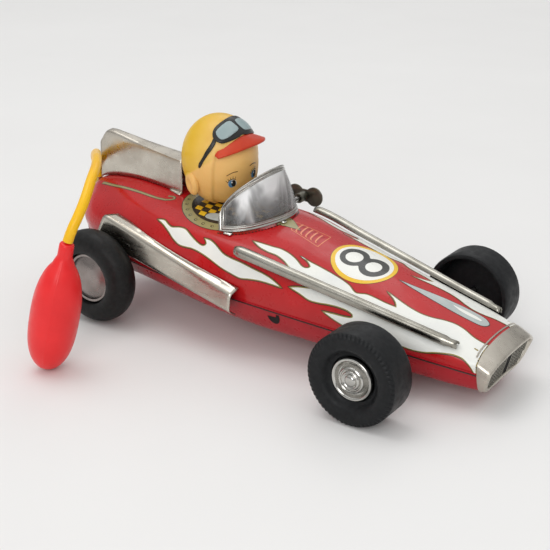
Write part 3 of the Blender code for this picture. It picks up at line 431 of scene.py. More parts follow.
def rubber(name, colour, wear, roughness=(0.42, 0.62)):
    """Moulded rubber with dusty wear and a fine skin."""
    look = new_material(name, colour, 0.5)
    shader_of(look).inputs["Specular IOR Level"].default_value = 0.2
    dust = ramp(look, noise(look, 420.0, 8.0, 0.7), [(0.42, colour), (0.72, wear)])
    set_colour(look, dust)
    set_roughness(look, noise(look, 300.0, 5.0), roughness[0], roughness[1])
    set_bump(look, noise(look, 1500.0, 3.0), 0.00004, 0.5)
    return look


def vinyl(name, colour, shade, gloss, depth=0.1):
    """Soft moulded vinyl with a slightly uneven, waxy skin."""
    look = new_material(name, colour, 0.38, 0.0, 0.5 * gloss, 0.18)
    shader = shader_of(look)
    shader.inputs["Specular IOR Level"].default_value = 0.32
    shader.inputs["Subsurface Weight"].default_value = depth
    shader.inputs["Subsurface Radius"].default_value = (1.0, 0.5, 0.25)
    shader.inputs["Subsurface Scale"].default_value = 0.002
    set_colour(look, ramp(look, noise(look, 60.0, 4.0), [(0.3, shade), (0.7, colour)]))
    set_roughness(look, noise(look, 200.0, 5.0), 0.32, 0.48)
    set_bump(look, noise(look, 500.0, 4.0), 0.00005, 0.4)
    return look


RED = ink("printed_red", (0.50, 0.009, 0.011), (0.43, 0.006, 0.008))
PAN_RED = ink("pan_red", (0.42, 0.006, 0.014), (0.35, 0.005, 0.011), 0.7)
WHITE = ink("printed_white", (0.86, 0.86, 0.80), (0.76, 0.77, 0.74))
CREAM = ink("printed_cream", (0.86, 0.86, 0.80), (0.82, 0.82, 0.77))
SILVER = ink("printed_grey", (0.52, 0.56, 0.54), (0.36, 0.41, 0.40))
BLACK = ink("printed_black", (0.018, 0.018, 0.016), (0.028, 0.026, 0.022))
CHARCOAL = ink("printed_charcoal", (0.040, 0.042, 0.038), (0.055, 0.058, 0.052))
GOLD = ink("printed_gold", (0.34, 0.26, 0.05), (0.22, 0.165, 0.035))
OLIVE = ink("printed_olive", (0.36, 0.32, 0.15), (0.28, 0.25, 0.11))
YELLOW = ink("printed_yellow", (0.86, 0.56, 0.03), (0.80, 0.48, 0.02))
SALMON = ink("printed_salmon", (0.82, 0.30, 0.14), (0.72, 0.22, 0.10))
TIN = plated("plated_tin", (0.60, 0.56, 0.49), (0.48, 0.44, 0.38))
LENGTHWAYS = (0.25, 3.0, 3.0)
TIN_STREAKED = plated("plated_tin_long", (0.58, 0.55, 0.48), (0.49, 0.455, 0.395), (0.22, 0.36), LENGTHWAYS)
STRIP_TIN = plated("strip_tin", (0.40, 0.385, 0.34), (0.29, 0.275, 0.235), (0.18, 0.32), LENGTHWAYS)
HUB_TIN = plated("hub_tin", (0.34, 0.30, 0.285), (0.25, 0.215, 0.20), (0.22, 0.38))
CAP_CHROME = plated("cap_chrome", (0.56, 0.55, 0.52), (0.25, 0.245, 0.23), (0.05, 0.15))
RIM_CHROME = plated("rim_chrome", (0.44, 0.43, 0.40), (0.30, 0.29, 0.27), (0.14, 0.28))
CHROME = plated("bright_chrome", (0.74, 0.73, 0.69), (0.60, 0.59, 0.55), (0.08, 0.2))
STEEL = plated("plain_steel", (0.42, 0.41, 0.40), (0.28, 0.27, 0.26))
# Dark steel for the key and the CAD nodes, and also painted shade on the inner faces of the strips and pods.
DARK_STEEL_AND_INNER_SHADE = plated("dark_steel", (0.19, 0.185, 0.155), (0.10, 0.098, 0.082), (0.3, 0.5))
BRASS = plated("stamped_brass", (0.62, 0.46, 0.19), (0.42, 0.30, 0.12))
TYRE = rubber("tyre_rubber", (0.008, 0.0085, 0.0095), (0.016, 0.017, 0.018), (0.38, 0.56))
TYRE_REAR = rubber("rear_tyre_rubber", (0.009, 0.009, 0.009), (0.018, 0.018, 0.018), (0.34, 0.5))
BELLOWS = rubber("bellows_rubber", (0.02, 0.02, 0.02), (0.05, 0.05, 0.05))
HOSE = vinyl("hose_vinyl", (0.90, 0.52, 0.005), (0.84, 0.44, 0.004), 0.35)
BULB = vinyl("bulb_vinyl", (0.82, 0.020, 0.022), (0.74, 0.013, 0.015), 0.5)
VISOR = vinyl("visor_vinyl", (0.60, 0.050, 0.010), (0.48, 0.028, 0.006), 0.3)
GOGGLE = vinyl("goggle_vinyl", (0.006, 0.007, 0.006), (0.012, 0.012, 0.010), 0.6, 0.0)
LENS = vinyl("lens_paint", (0.36, 0.44, 0.44), (0.25, 0.34, 0.35), 0.5, 0.0)
EYE_BLACK = vinyl("eye_black", (0.012, 0.010, 0.010), (0.016, 0.014, 0.012), 0.4, 0.0)
EYE_BLUE = vinyl("eye_blue", (0.10, 0.26, 0.42), (0.06, 0.18, 0.34), 0.4, 0.0)
EYE_WHITE = vinyl("eye_white", (0.82, 0.80, 0.74), (0.76, 0.74, 0.68), 0.4, 0.0)
BROW = vinyl("brow_brown", (0.16, 0.07, 0.02), (0.12, 0.05, 0.015), 0.2, 0.0)
# A near-black look, used as painted shadow in the grille's opening and in the pan's tab slots.
PAINTED_SLOT_SHADOW = rubber("slot_shadow", (0.006, 0.005, 0.005), (0.012, 0.010, 0.010))


# ================================================================ air hose and bulb

HOSE_ROUTE = (
    (-34.4, 0.0, 63.7), (-34.4, -0.9, 69.5), (-32.4, -4.2, 75.0), (-27.4, -9.4, 79.2), (-19.0, -17.6, 83.4),
    (-8.6, -28.2, 87.6), (3.0, -40.4, 91.8), (14.6, -52.4, 94.8), (25.0, -64.2, 95.2), (32.0, -75.4, 92.4),
    (36.4, -84.6, 86.6), (37.6, -90.8, 80.4), (36.9, -95.3, 74.2), (35.2, -96.8, 68.5),
)
HOSE_RADIUS = 2.5
BULB_BOTTOM = (19.7, -102.5, 0.6)
BULB_TOP = (34.9, -97.0, 67.6)
BULB_RADIUS = 12.0
BULB_SIDES = 120

# The bulb's collar, as (radius, height over the shoulder); the last height is the collar's length.
BULB_NECK = ((4.2, 0.35), (3.8, 1.0), (3.65, 2.4), (3.6, 5.4), (3.55, 7.4), (3.3, 8.0), (2.9, 8.4))


def bulb_profile(length):
    """The bulb's outline as (radius, height), fuller below its middle than above it."""
    shoulder = length - BULB_NECK[-1][1] * MM
    steps = 48
    profile = []
    for k in range(1, steps):
        part = (1 - math.cos(math.pi * k / steps)) / 2
        power = 2.9 if part < 0.5 else 2.2
        radius = BULB_RADIUS * MM * math.sqrt(1 - abs(2 * part - 1) ** power)
        if part < 0.5 or radius > 5.0 * MM:
            profile.append((radius, shoulder * part))
    return profile + [(radius * MM, shoulder + rise * MM) for radius, rise in BULB_NECK]


def make_bulb():
    """The squeeze bulb, which stands on the floor and leans, with a moulding seam down two sides."""
    bottom, top = world(*BULB_BOTTOM), world(*BULB_TOP)
    axis = (top - bottom).normalized()
    across = axis.cross(Vector((0, 1, 0))).normalized()
    third = axis.cross(across)
    rows = []
    for radius, along in bulb_profile((top - bottom).length):
        row = []
        for angle in turns(BULB_SIDES):
            seam = 1.0 + 0.022 * math.exp(-(math.sin(angle - 2.1) / 0.05) ** 2)
            outward = across * math.cos(angle) + third * math.sin(angle)
            row.append(bottom + axis * along + outward * radius * seam)
        rows.append(row)
    bulb = grid_piece("bulb_body", rows, BULB, "car", False, True, True, 50.0)
    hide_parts("squeeze_bulb")
    return bulb


def make_hose_and_bulb():
    """The hose is one smooth vinyl tube, and the bulb hangs on its end."""
    route = smooth_line([world(*point) for point in HOSE_ROUTE], 40)
    hose = grid_piece("hose_tube", tube_rows(route, HOSE_RADIUS * MM, 24), HOSE, "car", False, True, True)
    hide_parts("air_hose")
    bulb = make_bulb()


make_camera()
make_hose_and_bulb()
make_studio()


# ================================================================ body surface

# Distance ahead of the rear axle, then crown z, shoulder y and z, side y and z, seam y and z, keel y and z.
STATIONS = (
    (-38.6, 53.5, 4.5, 51.6, 7.2, 47.0, 5.5, 42.5, 2.0, 39.0),
    (-35.5, 59.5, 7.0, 55.0, 12.3, 47.0, 9.5, 40.0, 3.0, 34.0),
    (-30.0, 64.2, 9.6, 58.4, 17.8, 46.5, 14.5, 37.7, 4.0, 29.0),
    (-22.0, 66.6, 12.6, 60.6, 23.2, 46.0, 19.5, 36.2, 5.0, 24.5),
    (-12.0, 67.9, 15.6, 61.6, 27.0, 45.2, 24.0, 35.2, 6.0, 21.0),
    (0.0, 68.3, 19.0, 61.9, 30.2, 44.4, 27.6, 34.4, 7.0, 18.2),
    (15.0, 67.6, 23.2, 61.4, 32.6, 43.4, 30.6, 33.6, 9.5, 18.0),
    (30.0, 66.2, 27.6, 60.4, 34.6, 42.6, 32.8, 32.9, 12.0, 17.0),
    (60.0, 64.6, 31.8, 58.2, 36.6, 40.8, 34.8, 31.5, 16.0, 14.0),
    (92.0, 62.6, 33.0, 55.2, 36.8, 38.6, 35.0, 30.1, 19.0, 11.8),
    (120.0, 55.2, 30.2, 49.0, 35.0, 35.6, 33.4, 28.2, 20.5, 11.8),
    (150.0, 46.8, 26.8, 42.3, 32.2, 32.0, 30.8, 25.8, 20.0, 10.8),
    (180.0, 38.8, 23.5, 35.5, 29.0, 28.0, 28.0, 23.1, 19.0, 9.6),
    (200.0, 33.8, 21.2, 31.1, 26.4, 25.0, 25.6, 21.3, 18.0, 8.8),
    (213.2, 30.2, 17.8, 28.4, 24.0, 23.0, 23.4, 19.9, 16.4, 8.6),
)
TAIL_POLE = (-40.0, 0.0, 47.0)
TAIL_START = STATIONS[0][0]
NOSE_END = STATIONS[-1][0]
SECTION_POINTS = 64
SOFTENING_PASSES = 6
CROWN_POWER = 2.2
SEAM_STEPS = 50


def hermite(p0, m0, p1, m1, t):
    """Cubic between two values with end slopes."""
    t2, t3 = t * t, t ** 3
    return (2 * t3 - 3 * t2 + 1) * p0 + (t3 - 2 * t2 + t) * m0 + (3 * t2 - 2 * t3) * p1 + (t3 - t2) * m1


def station_values(x):
    """The body's section dimensions at a distance ahead of the rear axle."""
    x = min(max(x, TAIL_START), NOSE_END)
    i = 0
    while i < len(STATIONS) - 2 and x > STATIONS[i + 1][0]:
        i += 1
    before, start, end = STATIONS[max(i - 1, 0)], STATIONS[i], STATIONS[i + 1]
    after = STATIONS[min(i + 2, len(STATIONS) - 1)]
    span = end[0] - start[0]
    t = (x - start[0]) / span
    values = []
    for k in range(1, len(start)):
        m0 = (end[k] - before[k]) / (end[0] - before[0]) * span
        m1 = (after[k] - start[k]) / (after[0] - start[0]) * span
        values.append(hermite(start[k], m0, end[k], m1, t))
    return values


def running_lengths(points):
    """Distance along a line at each of its points."""
    lengths = [0.0]
    for a, b in zip(points, points[1:]):
        lengths.append(lengths[-1] + math.dist(a, b))
    return lengths


def even_points(points, count):
    """Resample a 2-D line evenly."""
    lengths = running_lengths(points)
    result = []
    i = 0
    for k in range(count):
        wanted = lengths[-1] * k / (count - 1)
        while i < len(points) - 2 and lengths[i + 1] < wanted:
            i += 1
        part = (wanted - lengths[i]) / max(lengths[i + 1] - lengths[i], 1e-9)
        a, b = points[i], points[i + 1]
        result.append((a[0] + (b[0] - a[0]) * part, a[1] + (b[1] - a[1]) * part))
    return result


SECTIONS = {}


def half_section(x):
    """Softened half-section from the crown to the seam, with its running length."""
    key = round(x, 2)
    if key in SECTIONS:
        return SECTIONS[key]
    crown_z, shoulder_y, shoulder_z, side_y, side_z, seam_y, seam_z, _, _ = station_values(x)
    points = []
    for k in range(20):
        t = k / 20
        points.append((t * shoulder_y, crown_z - (crown_z - shoulder_z) * t ** CROWN_POWER))
    out, down = side_y - shoulder_y, shoulder_z - side_z
    for k in range(20):
        t = k / 20
        y = hermite(shoulder_y, 1.5 * out, side_y, 0, t)
        points.append((y, hermite(shoulder_z, -0.8 * down, side_z, -1.1 * down, t)))
    inward, fall = seam_y - side_y, seam_z - side_z
    for k in range(11):
        t = k / 10
        points.append((hermite(side_y, 0, seam_y, 1.6 * inward, t), hermite(side_z, fall, seam_z, fall, t)))
    points = even_points(points, SECTION_POINTS)
    for _ in range(SOFTENING_PASSES):
        middle = []
        for a, b, c in zip(points, points[1:], points[2:]):
            middle.append(((a[0] + 2 * b[0] + c[0]) / 4, (a[1] + 2 * b[1] + c[1]) / 4))
        points = [(0.0, (points[0][1] + points[1][1]) / 2)] + middle + [points[-1]]
    SECTIONS[key] = (points, running_lengths(points))
    return SECTIONS[key]


def surface(x, u, lift=0.0):
    """A point of the upper shell: x ahead of the rear axle, u round the section from the crown.

    u is positive towards the driver's right, and `lift` raises the point off the sheet.
    """
    points, lengths = half_section(x)
    side = -1.0 if u >= 0 else 1.0
    reach = min(abs(u), lengths[-1] - 1e-6)
    i = min(int(reach / lengths[-1] * (len(points) - 1)), len(points) - 2)
    while i > 0 and lengths[i] > reach:
        i -= 1
    while i < len(points) - 2 and lengths[i + 1] < reach:
        i += 1
    part = (reach - lengths[i]) / (lengths[i + 1] - lengths[i])
    (y0, z0), (y1, z1) = points[i], points[i + 1]
    before, after = points[max(i - 1, 0)], points[min(i + 2, len(points) - 1)]
    slope_y = (y1 - before[0]) * (1 - part) + (after[0] - y0) * part
    slope_z = (z1 - before[1]) * (1 - part) + (after[1] - z0) * part
    size = math.hypot(slope_y, slope_z)
    y = y0 + (y1 - y0) * part + lift * -slope_z / size
    z = z0 + (z1 - z0) * part + lift * slope_y / size
    return world(x, side * y, z)


def seam_length(x):
    """Length of the half-section at a station."""
    return half_section(x)[1][-1]


def lower_half(x):
    """Points (y, z) of the lower pan from just under the seam to the keel's middle."""
    seam_y, seam_z, keel_y, keel_z = station_values(x)[5:]
    top = seam_z - 0.5
    count = 24
    points = []
    for k in range(count + 1):
        t = k / count
        points.append((
            hermite(seam_y, -0.5 * (seam_y - keel_y), keel_y, -1.7 * (seam_y - keel_y), t),
            hermite(top, 1.5 * (keel_z - top), keel_z, 0.0, t),
        ))
    for k in range(1, 7):
        points.append((keel_y * (1 - k / 6), keel_z))
    return points


def body_stops():
    """Stations of the fine skin, closer together towards the tail's tip."""
    stops = [TAIL_START + 0.9 * k for k in range(12)]
    while stops[-1] < NOSE_END - 1.7:
        stops.append(stops[-1] + 2.0)
    return stops + [NOSE_END]


def body_skin(name, rows, pole, look, node):
    """Skin half of the body, from its rows back to a point at the tail, in place of a CAD node."""
    columns = len(rows[0])
    points, faces = skin(rows)
    points.append(world(*pole))
    first, second = (0, 1) if node == "body_shell" else (1, 0)
    faces += [(len(points) - 1, k + first, k + second) for k in range(columns - 1)]
    made = mesh_piece(name, points, faces, look, "car", True, 50.0)
    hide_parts(node)


def make_body():
    """The printed upper shell, the lower pan and the rolled seam between them, with a thin black tube in the
    seam's gap as painted shade.
    """
    upper, lower = [], []
    for x in body_stops():
        total = seam_length(x)
        upper.append([surface(x, total * k / SEAM_STEPS) for k in range(-SEAM_STEPS, SEAM_STEPS + 1)])
        half = lower_half(x)
        lower.append([world(x, -y, z) for y, z in half] + [world(x, y, z) for y, z in reversed(half[:-1])])
    x, y, z = TAIL_POLE
    body_skin("printed_shell", upper, TAIL_POLE, RED, "body_shell")
    body_skin("lower_pan", lower, (x, y, z - 2.2), PAN_RED, "base_pan")
    for word, side in PRINT_SIDES:
        line = []
        for x in body_stops()[3:]:
            line.append(surface(x, side * seam_length(x)) + Vector((0, 0, -0.35 * MM)))
        # A thin black tube in the gap under the roll is painted shade.
        gap_shade_line = [point + Vector((0, -side * 0.35 * MM, -0.75 * MM)) for point in line]
        for name, path, radius, sides, look in (
            ("seam_gap_shade_", gap_shade_line, 0.28, 6, BLACK),
            ("seam_roll_", line, 0.5, 8, PAN_RED),
        ):
            tube = tube_rows(path, radius * MM, sides)
            made = grid_piece(name + word, tube, look, "car", False, True, True)


make_body()


# ================================================================ printed decoration

def offset_outline(outline, distance):
    """Move a closed outline outwards by a distance."""
    count = len(outline)
    area = sum(outline[k - 1][0] * outline[k][1] - outline[k][0] * outline[k - 1][1] for k in range(count))
    turn = 1.0 if area > 0 else -1.0
    moved = []
    for k in range(count):
        before, here, after = Vector(outline[k - 1]), Vector(outline[k]), Vector(outline[(k + 1) % count])
        first = (here - before).normalized()
        second = (after - here).normalized()
        normal = Vector((first.y + second.y, -first.x - second.x)) * turn
        if normal.length < 1e-6:
            normal = Vector((first.y, -first.x)) * turn
        bend = max(first.dot(second), -0.2)
        stretch = 1.0 / math.sqrt((1 + bend) / 2)
        moved.append(tuple(here + normal.normalized() * distance * stretch))
    return moved


def cut_shape(outlines, steps, tolerance):
    """A flat filled shape, cut along a grid so that it can follow a curved surface.

    The first outline is the outside and the rest are holes.
    """
    bm = bmesh.new()
    edges = []
    for outline in outlines:
        corners = [bm.verts.new((a, b, 0.0)) for a, b in outline]
        for k, corner in enumerate(corners):
            edges.append(bm.edges.new((corner, corners[(k + 1) % len(corners)])))
    bmesh.ops.triangle_fill(bm, use_beauty=True, use_dissolve=False, edges=edges)
    for axis, step in enumerate(steps):
        values = [vertex.co[axis] for vertex in bm.verts]
        place = math.ceil(min(values) / step) * step
        while place < max(values):
            point, normal = Vector((0, 0, 0)), Vector((0, 0, 0))
            point[axis], normal[axis] = place, 1.0
            geometry = list(bm.verts) + list(bm.edges) + list(bm.faces)
            bmesh.ops.bisect_plane(bm, geom=geometry, plane_co=point, plane_no=normal, dist=tolerance)
            place += step
    return bm


def printed(name, loops, look, lift, mirror=False):
    """Print a shape on the upper shell, from closed outlines of (x, u) in millimetres."""
    if mirror:
        loops = [[(x, -u) for x, u in loop] for loop in loops]
    bm = cut_shape(loops, (4.0, 1.6), 1e-6)
    for vertex in bm.verts:
        vertex.co = surface(vertex.co.x, vertex.co.y, lift)
    bmesh.ops.recalc_face_normals(bm, faces=bm.faces)
    if sum(face.normal.z * face.calc_area() for face in bm.faces) < 0:
        bmesh.ops.reverse_faces(bm, faces=bm.faces)
    mesh = bpy.data.meshes.new(name)
    bm.to_mesh(mesh)
    bm.free()
    mesh.shade_smooth()
    mesh.materials.append(look)
    made = add_object(name, mesh)
    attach(made, "car")
    return made


def line_length(points):
    """Length of a line through points."""
    return sum(math.dist(a, b) for a, b in zip(points, points[1:]))


def curve_outline(points, step=1.0):
    """A closed outline through points, sharp at the points that are marked with a third value."""
    result = []
    corners = [k for k, point in enumerate(points) if len(point) == 3]
    if not corners:
        count = int(line_length(points + points[:1]) / step)
        return [tuple(p) for p in smooth_line(points, count, True)]
    for start, end in zip(corners, corners[1:] + [corners[0] + len(points)]):
        run = [points[k % len(points)][:2] for k in range(start, end + 1)]
        count = max(int(line_length(run) / step), 2) + 1
        result += [tuple(p) for p in smooth_line(run, count)][:-1]
    return result


# Flame lobes on the driver's right, as (x, u); a third value marks a sharp tip.
FLAME_REAR = (
    (32.5, 30.0, 1), (37.0, 29.6), (41.0, 31.6), (44.0, 32.4), (49.0, 31.6), (53.0, 32.0), (57.5, 34.4),
    (62.0, 36.6), (65.8, 37.6), (68.0, 36.4), (67.2, 34.8), (66.0, 33.8, 1), (70.0, 34.0), (74.0, 35.6),
    (79.0, 38.4), (84.0, 39.4), (90.0, 39.6), (97.0, 39.8), (104.0, 39.4), (109.0, 39.6), (114.0, 40.6, 1),
    (108.0, 42.0), (102.0, 43.6), (96.0, 45.6), (91.0, 47.2), (86.0, 46.9), (79.0, 45.6), (72.0, 43.2),
    (66.0, 41.4), (60.0, 40.4), (52.0, 40.4), (47.0, 38.4), (42.0, 34.8), (37.0, 31.8),
)
FLAME_MIDDLE = (
    (118.0, 38.2, 1), (123.0, 35.6), (128.0, 33.6), (131.0, 31.5), (128.0, 30.6), (121.0, 30.4),
    (115.0, 29.6), (111.0, 28.0), (106.0, 27.2), (101.0, 28.0), (96.0, 27.8), (91.0, 26.0, 1),
    (96.0, 25.0), (101.0, 23.9), (105.5, 22.5), (110.0, 22.3), (115.0, 23.4), (119.0, 25.2),
    (121.6, 25.0), (122.8, 23.2), (121.2, 21.6), (118.4, 20.4), (115.4, 20.0, 1), (121.0, 20.2),
    (127.0, 20.0), (134.0, 20.0), (140.0, 20.4), (144.0, 21.2), (147.0, 22.8), (149.0, 23.4),
    (151.0, 22.4), (153.6, 20.8), (158.0, 20.2), (163.0, 19.9), (168.4, 19.0, 1), (167.0, 16.8),
    (164.4, 14.6), (160.0, 12.2, 1), (165.0, 13.2), (170.0, 14.2), (175.0, 14.8), (180.0, 14.7),
    (185.0, 13.4), (190.0, 11.1), (195.0, 9.8), (200.0, 10.2), (205.0, 11.9), (209.0, 12.4),
    (213.2, 12.2, 1), (213.2, 31.0, 1), (212.0, 29.6), (210.4, 27.4), (207.0, 26.0), (203.0, 26.4),
    (199.0, 27.8), (194.0, 30.0), (189.0, 32.6), (183.0, 34.8), (176.0, 36.0), (168.0, 36.6),
    (162.0, 37.6), (155.0, 39.2), (149.0, 41.4), (143.0, 41.2), (137.0, 40.2, 1), (143.0, 38.4),
    (148.0, 37.0), (151.6, 35.6), (152.0, 34.2), (149.0, 33.6), (144.0, 34.4), (139.0, 35.8),
    (134.0, 37.6), (129.0, 38.8), (124.0, 38.4),
)
TEARDROP = (
    (158.5, -1.6, 1), (166.0, -3.2), (174.0, -5.2), (182.0, -7.0), (190.0, -7.9), (197.0, -8.0),
    (202.0, -7.4), (205.4, -5.0), (206.2, -2.6), (204.8, 0.2), (201.0, 1.3), (192.0, 1.4), (182.0, 0.7),
    (172.0, 0.0), (164.0, -0.8),
)


def circle(x, u, radius_x, radius_u, count=72):
    """A round outline on the shell."""
    return [(x + radius_x * math.cos(a), u + radius_u * math.sin(a)) for a in turns(count)]


def make_flames():
    """White flames with an olive-gold edge and a thin black line, on both sides."""
    for word, mirror in (("right", False), ("left", True)):
        for number, points in ((1, FLAME_REAR), (2, FLAME_MIDDLE)):
            outline = curve_outline(points)
            name = "flame_%d_%s" % (number, word)
            printed(name + "_line", [offset_outline(outline, 0.68)], BLACK, 0.06, mirror)
            printed(name + "_edge", [offset_outline(outline, 0.28)], GOLD, 0.10, mirror)
            printed(name, [offset_outline(outline, -0.22)], WHITE, 0.14, mirror)
    drop = curve_outline(TEARDROP)
    printed("bonnet_drop_line", [offset_outline(drop, 0.35)], BLACK, 0.06)
    printed("bonnet_drop", [offset_outline(drop, -0.1)], SILVER, 0.10)
    shine = [(186.0, -4.6, 1), (193.0, -4.9), (200.0, -4.6), (202.5, -3.2), (199.0, -2.2), (192.0, -2.4)]
    printed("bonnet_drop_shine", [curve_outline(shine)], CREAM, 0.13)


def make_roundel():
    """The racing number in a white disc with a yellow ring."""
    x, u = 139.6, -0.6
    printed("roundel_line", [circle(x, u, 15.7, 19.8)], CHARCOAL, 0.06)
    printed("roundel_ring", [circle(x, u, 15.5, 19.6)], YELLOW, 0.10)
    printed("roundel_disc", [circle(x, u, 13.7, 16.8)], CREAM, 0.14)
    outline = []
    for middle, rx, ru, start in ((134.0, 6.5, 9.8, 38), (145.0, 6.6, 10.2, -142)):
        for k in range(49):
            angle = math.radians(start + 284 * k / 48)
            outline.append((middle + rx * math.cos(angle), u + ru * math.sin(angle)))
    holes = [circle(134.0, u + 0.4, 3.9, 5.8, 40), circle(144.8, u, 3.6, 5.6, 40)]
    printed("race_number", [outline] + holes, CHARCOAL, 0.18)


make_flames()
make_roundel()


def stroke(points, width, step=0.8):
    """Outline of a line of a given width through (x, u) points."""
    line = smooth_line(points, max(int(line_length(points) / step), 3))
    left, right = [], []
    for k, point in enumerate(line):
        along = (line[min(k + 1, len(line) - 1)] - line[max(k - 1, 0)]).normalized()
        across = Vector((-along.y, along.x)) * width / 2
        left.append(tuple(point + across))
        right.append(tuple(point - across))
    return left + right[::-1]


# Middle and half-sizes of the cockpit's oval on the shell.
COCKPIT = (62.0, 0.0, 28.6, 27.6)


def cockpit_loop(inset):
    """The cockpit's oval, set in from its outer edge."""
    x, u, rx, ru = COCKPIT
    return circle(x, u, rx - inset, ru - inset, 96)


def inside_cockpit(x, u, inset):
    """Whether a point lies inside the cockpit's oval."""
    cx, cu, rx, ru = COCKPIT
    return ((x - cx) / (rx - inset)) ** 2 + ((u - cu) / (ru - inset)) ** 2 < 1.0


SLEEVE = ((57.0, 15.6), (63.5, 13.4), (70.0, 13.8), (70.5, 18.6), (62.0, 20.4), (56.4, 19.6))
TAIL_STRIPE = ((-24.0, 9.0), (-14.0, 11.6), (-4.0, 13.0), (8.0, 14.4), (20.0, 15.6), (27.0, 15.0))
TAIL_CURL = ((27.0, 15.0), (30.0, 12.6), (28.6, 10.4), (25.6, 11.4))


def make_cockpit():
    """The printed cockpit: an olive ring with rivets round a chequered jacket and grey sleeves."""
    printed("cockpit_line", [cockpit_loop(-0.4)], BLACK, 0.05)
    printed("cockpit_ring", [cockpit_loop(0.0)], OLIVE, 0.08)
    printed("cockpit_well", [cockpit_loop(5.0)], BLACK, 0.11)
    cx, cu, rx, ru = COCKPIT
    rivets = 28
    for k in range(rivets):
        angle = 2 * math.pi * (k + 0.5) / rivets
        x = cx + (rx - 2.4) * math.cos(angle)
        u = cu + (ru - 2.4) * math.sin(angle)
        printed("rivet_line_%02d" % k, [circle(x, u, 0.95, 0.95, 16)], BLACK, 0.11)
        printed("rivet_%02d" % k, [circle(x + 0.12, u - 0.1, 0.62, 0.62, 14)], OLIVE, 0.14)
    squares = 0
    for i in range(-9, 9):
        for j in range(-9, 9):
            if (i + j) % 2:
                continue
            x0, u0 = cx - 6.0 + i * 4.3, cu + j * 3.9
            skew = 0.22 * (j * 3.9)
            near, far = x0 + skew, x0 + 4.0 + skew
            corners = [(near, u0), (far, u0 + 0.3), (far + 0.8, u0 + 3.8), (near + 0.8, u0 + 3.5)]
            under_sleeve = near > cx - 3.0 and abs(u0 + 1.9) > 12.5
            if under_sleeve or not all(inside_cockpit(x, u, 5.6) for x, u in corners):
                continue
            printed("check_%03d" % squares, [corners], YELLOW, 0.14)
            squares += 1
    for word, side in PRINT_SIDES:
        sleeve = curve_outline([(x, side * u) for x, u in SLEEVE])
        printed("sleeve_line_" + word, [offset_outline(sleeve, 0.3)], CHARCOAL, 0.16)
        printed("sleeve_" + word, [sleeve], SILVER, 0.19)


def make_small_prints():
    """The louvres on the bonnet and a stripe with a curl on each side of the tail."""
    corners = [(96.5, -2.2), (116.2, -6.6), (117.4, 7.6), (100.5, 6.0)]
    for k in range(4):
        a, b = corners[k], corners[(k + 1) % 4]
        printed("louvre_frame_%d" % k, [stroke([a, b], 0.42)], SALMON, 0.08)
    for k in range(5):
        x = 101.8 + 2.9 * k
        dark = [(x + 1.0, -3.6), (x + 0.6, 0.5), (x + 1.5, 4.6)]
        pale = [(x - 0.4, -3.8), (x - 0.2, 0.0), (x + 0.7, 4.6), (x + 1.8, 5.4)]
        printed("louvre_dark_%d" % k, [stroke(dark, 1.0)], PAN_RED, 0.08)
        printed("louvre_%d" % k, [stroke(pale, 0.7)], SALMON, 0.11)
    for word, side in PRINT_SIDES:
        for name, line, width in (("tail_stripe_", TAIL_STRIPE, 1.2), ("tail_curl_", TAIL_CURL, 1.0)):
            points = [(x, side * u) for x, u in line]
            printed(name + "line_" + word, [stroke(points, width + 0.7)], CHARCOAL, 0.07)
            printed(name + word, [stroke(points, width)], OLIVE, 0.10)


make_cockpit()
make_small_prints()


# ================================================================ plated nose

def nose_section():
    """The body's whole outline at its front end, as (y, z)."""
    left = half_section(NOSE_END)[0] + lower_half(NOSE_END)
    right = [(-y, z) for y, z in left]
    return right + left[::-1][1:-1]


NOSE_START = 213.5


def nose_loop(grow, forward):
    """One loop of the nose; `forward` runs from 0 at the body to 1 at the face."""
    points = []
    for y, z in nose_section():
        outward = Vector((y, (z - 19.0) * 1.4)).normalized() * grow
        y_new, z_new = y + outward.x, z + outward.y
        z_out = z_new + (9.2 + (z_new - 8.6) * 0.76 - z_new) * forward
        face_x = 216.6 + (z_out - 9.0) * 0.33
        points.append(world(NOSE_START + (face_x - NOSE_START) * forward, y_new, z_out))
    return points


def make_nose():
    """The plated ring with its rolled lip, and the fine upright slats of the grille."""
    steps = (
        (0.3, 0.0), (0.75, 0.02), (0.8, 0.2), (0.7, 0.4), (0.6, 0.6), (0.5, 0.8), (0.3, 0.92), (0.0, 0.99),
        (-0.5, 1.0), (-1.1, 0.99), (-1.6, 0.95), (-1.9, 0.88), (-2.3, 0.7), (-2.2, 0.3), (-1.4, 0.02),
    )
    loops = [nose_loop(grow, forward) for grow, forward in steps]
    ring = grid_piece("nose_shell", loops, TIN, "car", True, True, False, 60.0)
    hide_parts("nose_ring")
    # A flat near-black plate behind the slats is painted shadow in the grille's opening.
    back = nose_loop(-2.4, 0.62)
    plate = mesh_piece("grille_painted_shadow", back, [tuple(range(len(back)))], PAINTED_SLOT_SHADOW, "car")
    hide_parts("nose_grille")
    rim = nose_loop(-2.5, 0.78)
    ys = [point.y / MM for point in rim]
    width = max(ys) - 1.2
    slats = 20
    for k in range(slats):
        y = -width + 2 * width * k / (slats - 1)
        near = sorted(rim, key=lambda point: abs(point.y / MM - y))
        top = max(near[:6], key=lambda point: point.z)
        low = min(near[:6], key=lambda point: point.z)
        start, end = Vector((top.x, y * MM, top.z)), Vector((low.x, y * MM, low.z))
        if (start - end).length < 2 * MM:
            continue
        path = [start.lerp(end, t / 4) for t in range(5)]
        rod = tube_rows(path, 0.24 * MM, 6)
        slat = grid_piece("grille_slat_%02d" % k, rod, STRIP_TIN, "car", False, True, True, 70.0)
    lip = [surface(211.9, -22.0 + 44.0 * k / 40, 0.25) for k in range(41)]
    fold = grid_piece("nose_fold", tube_rows(lip, 0.42 * MM, 8), TIN, "car", False, True, True)


make_nose()


# ================================================================ tail fin, strips and pods

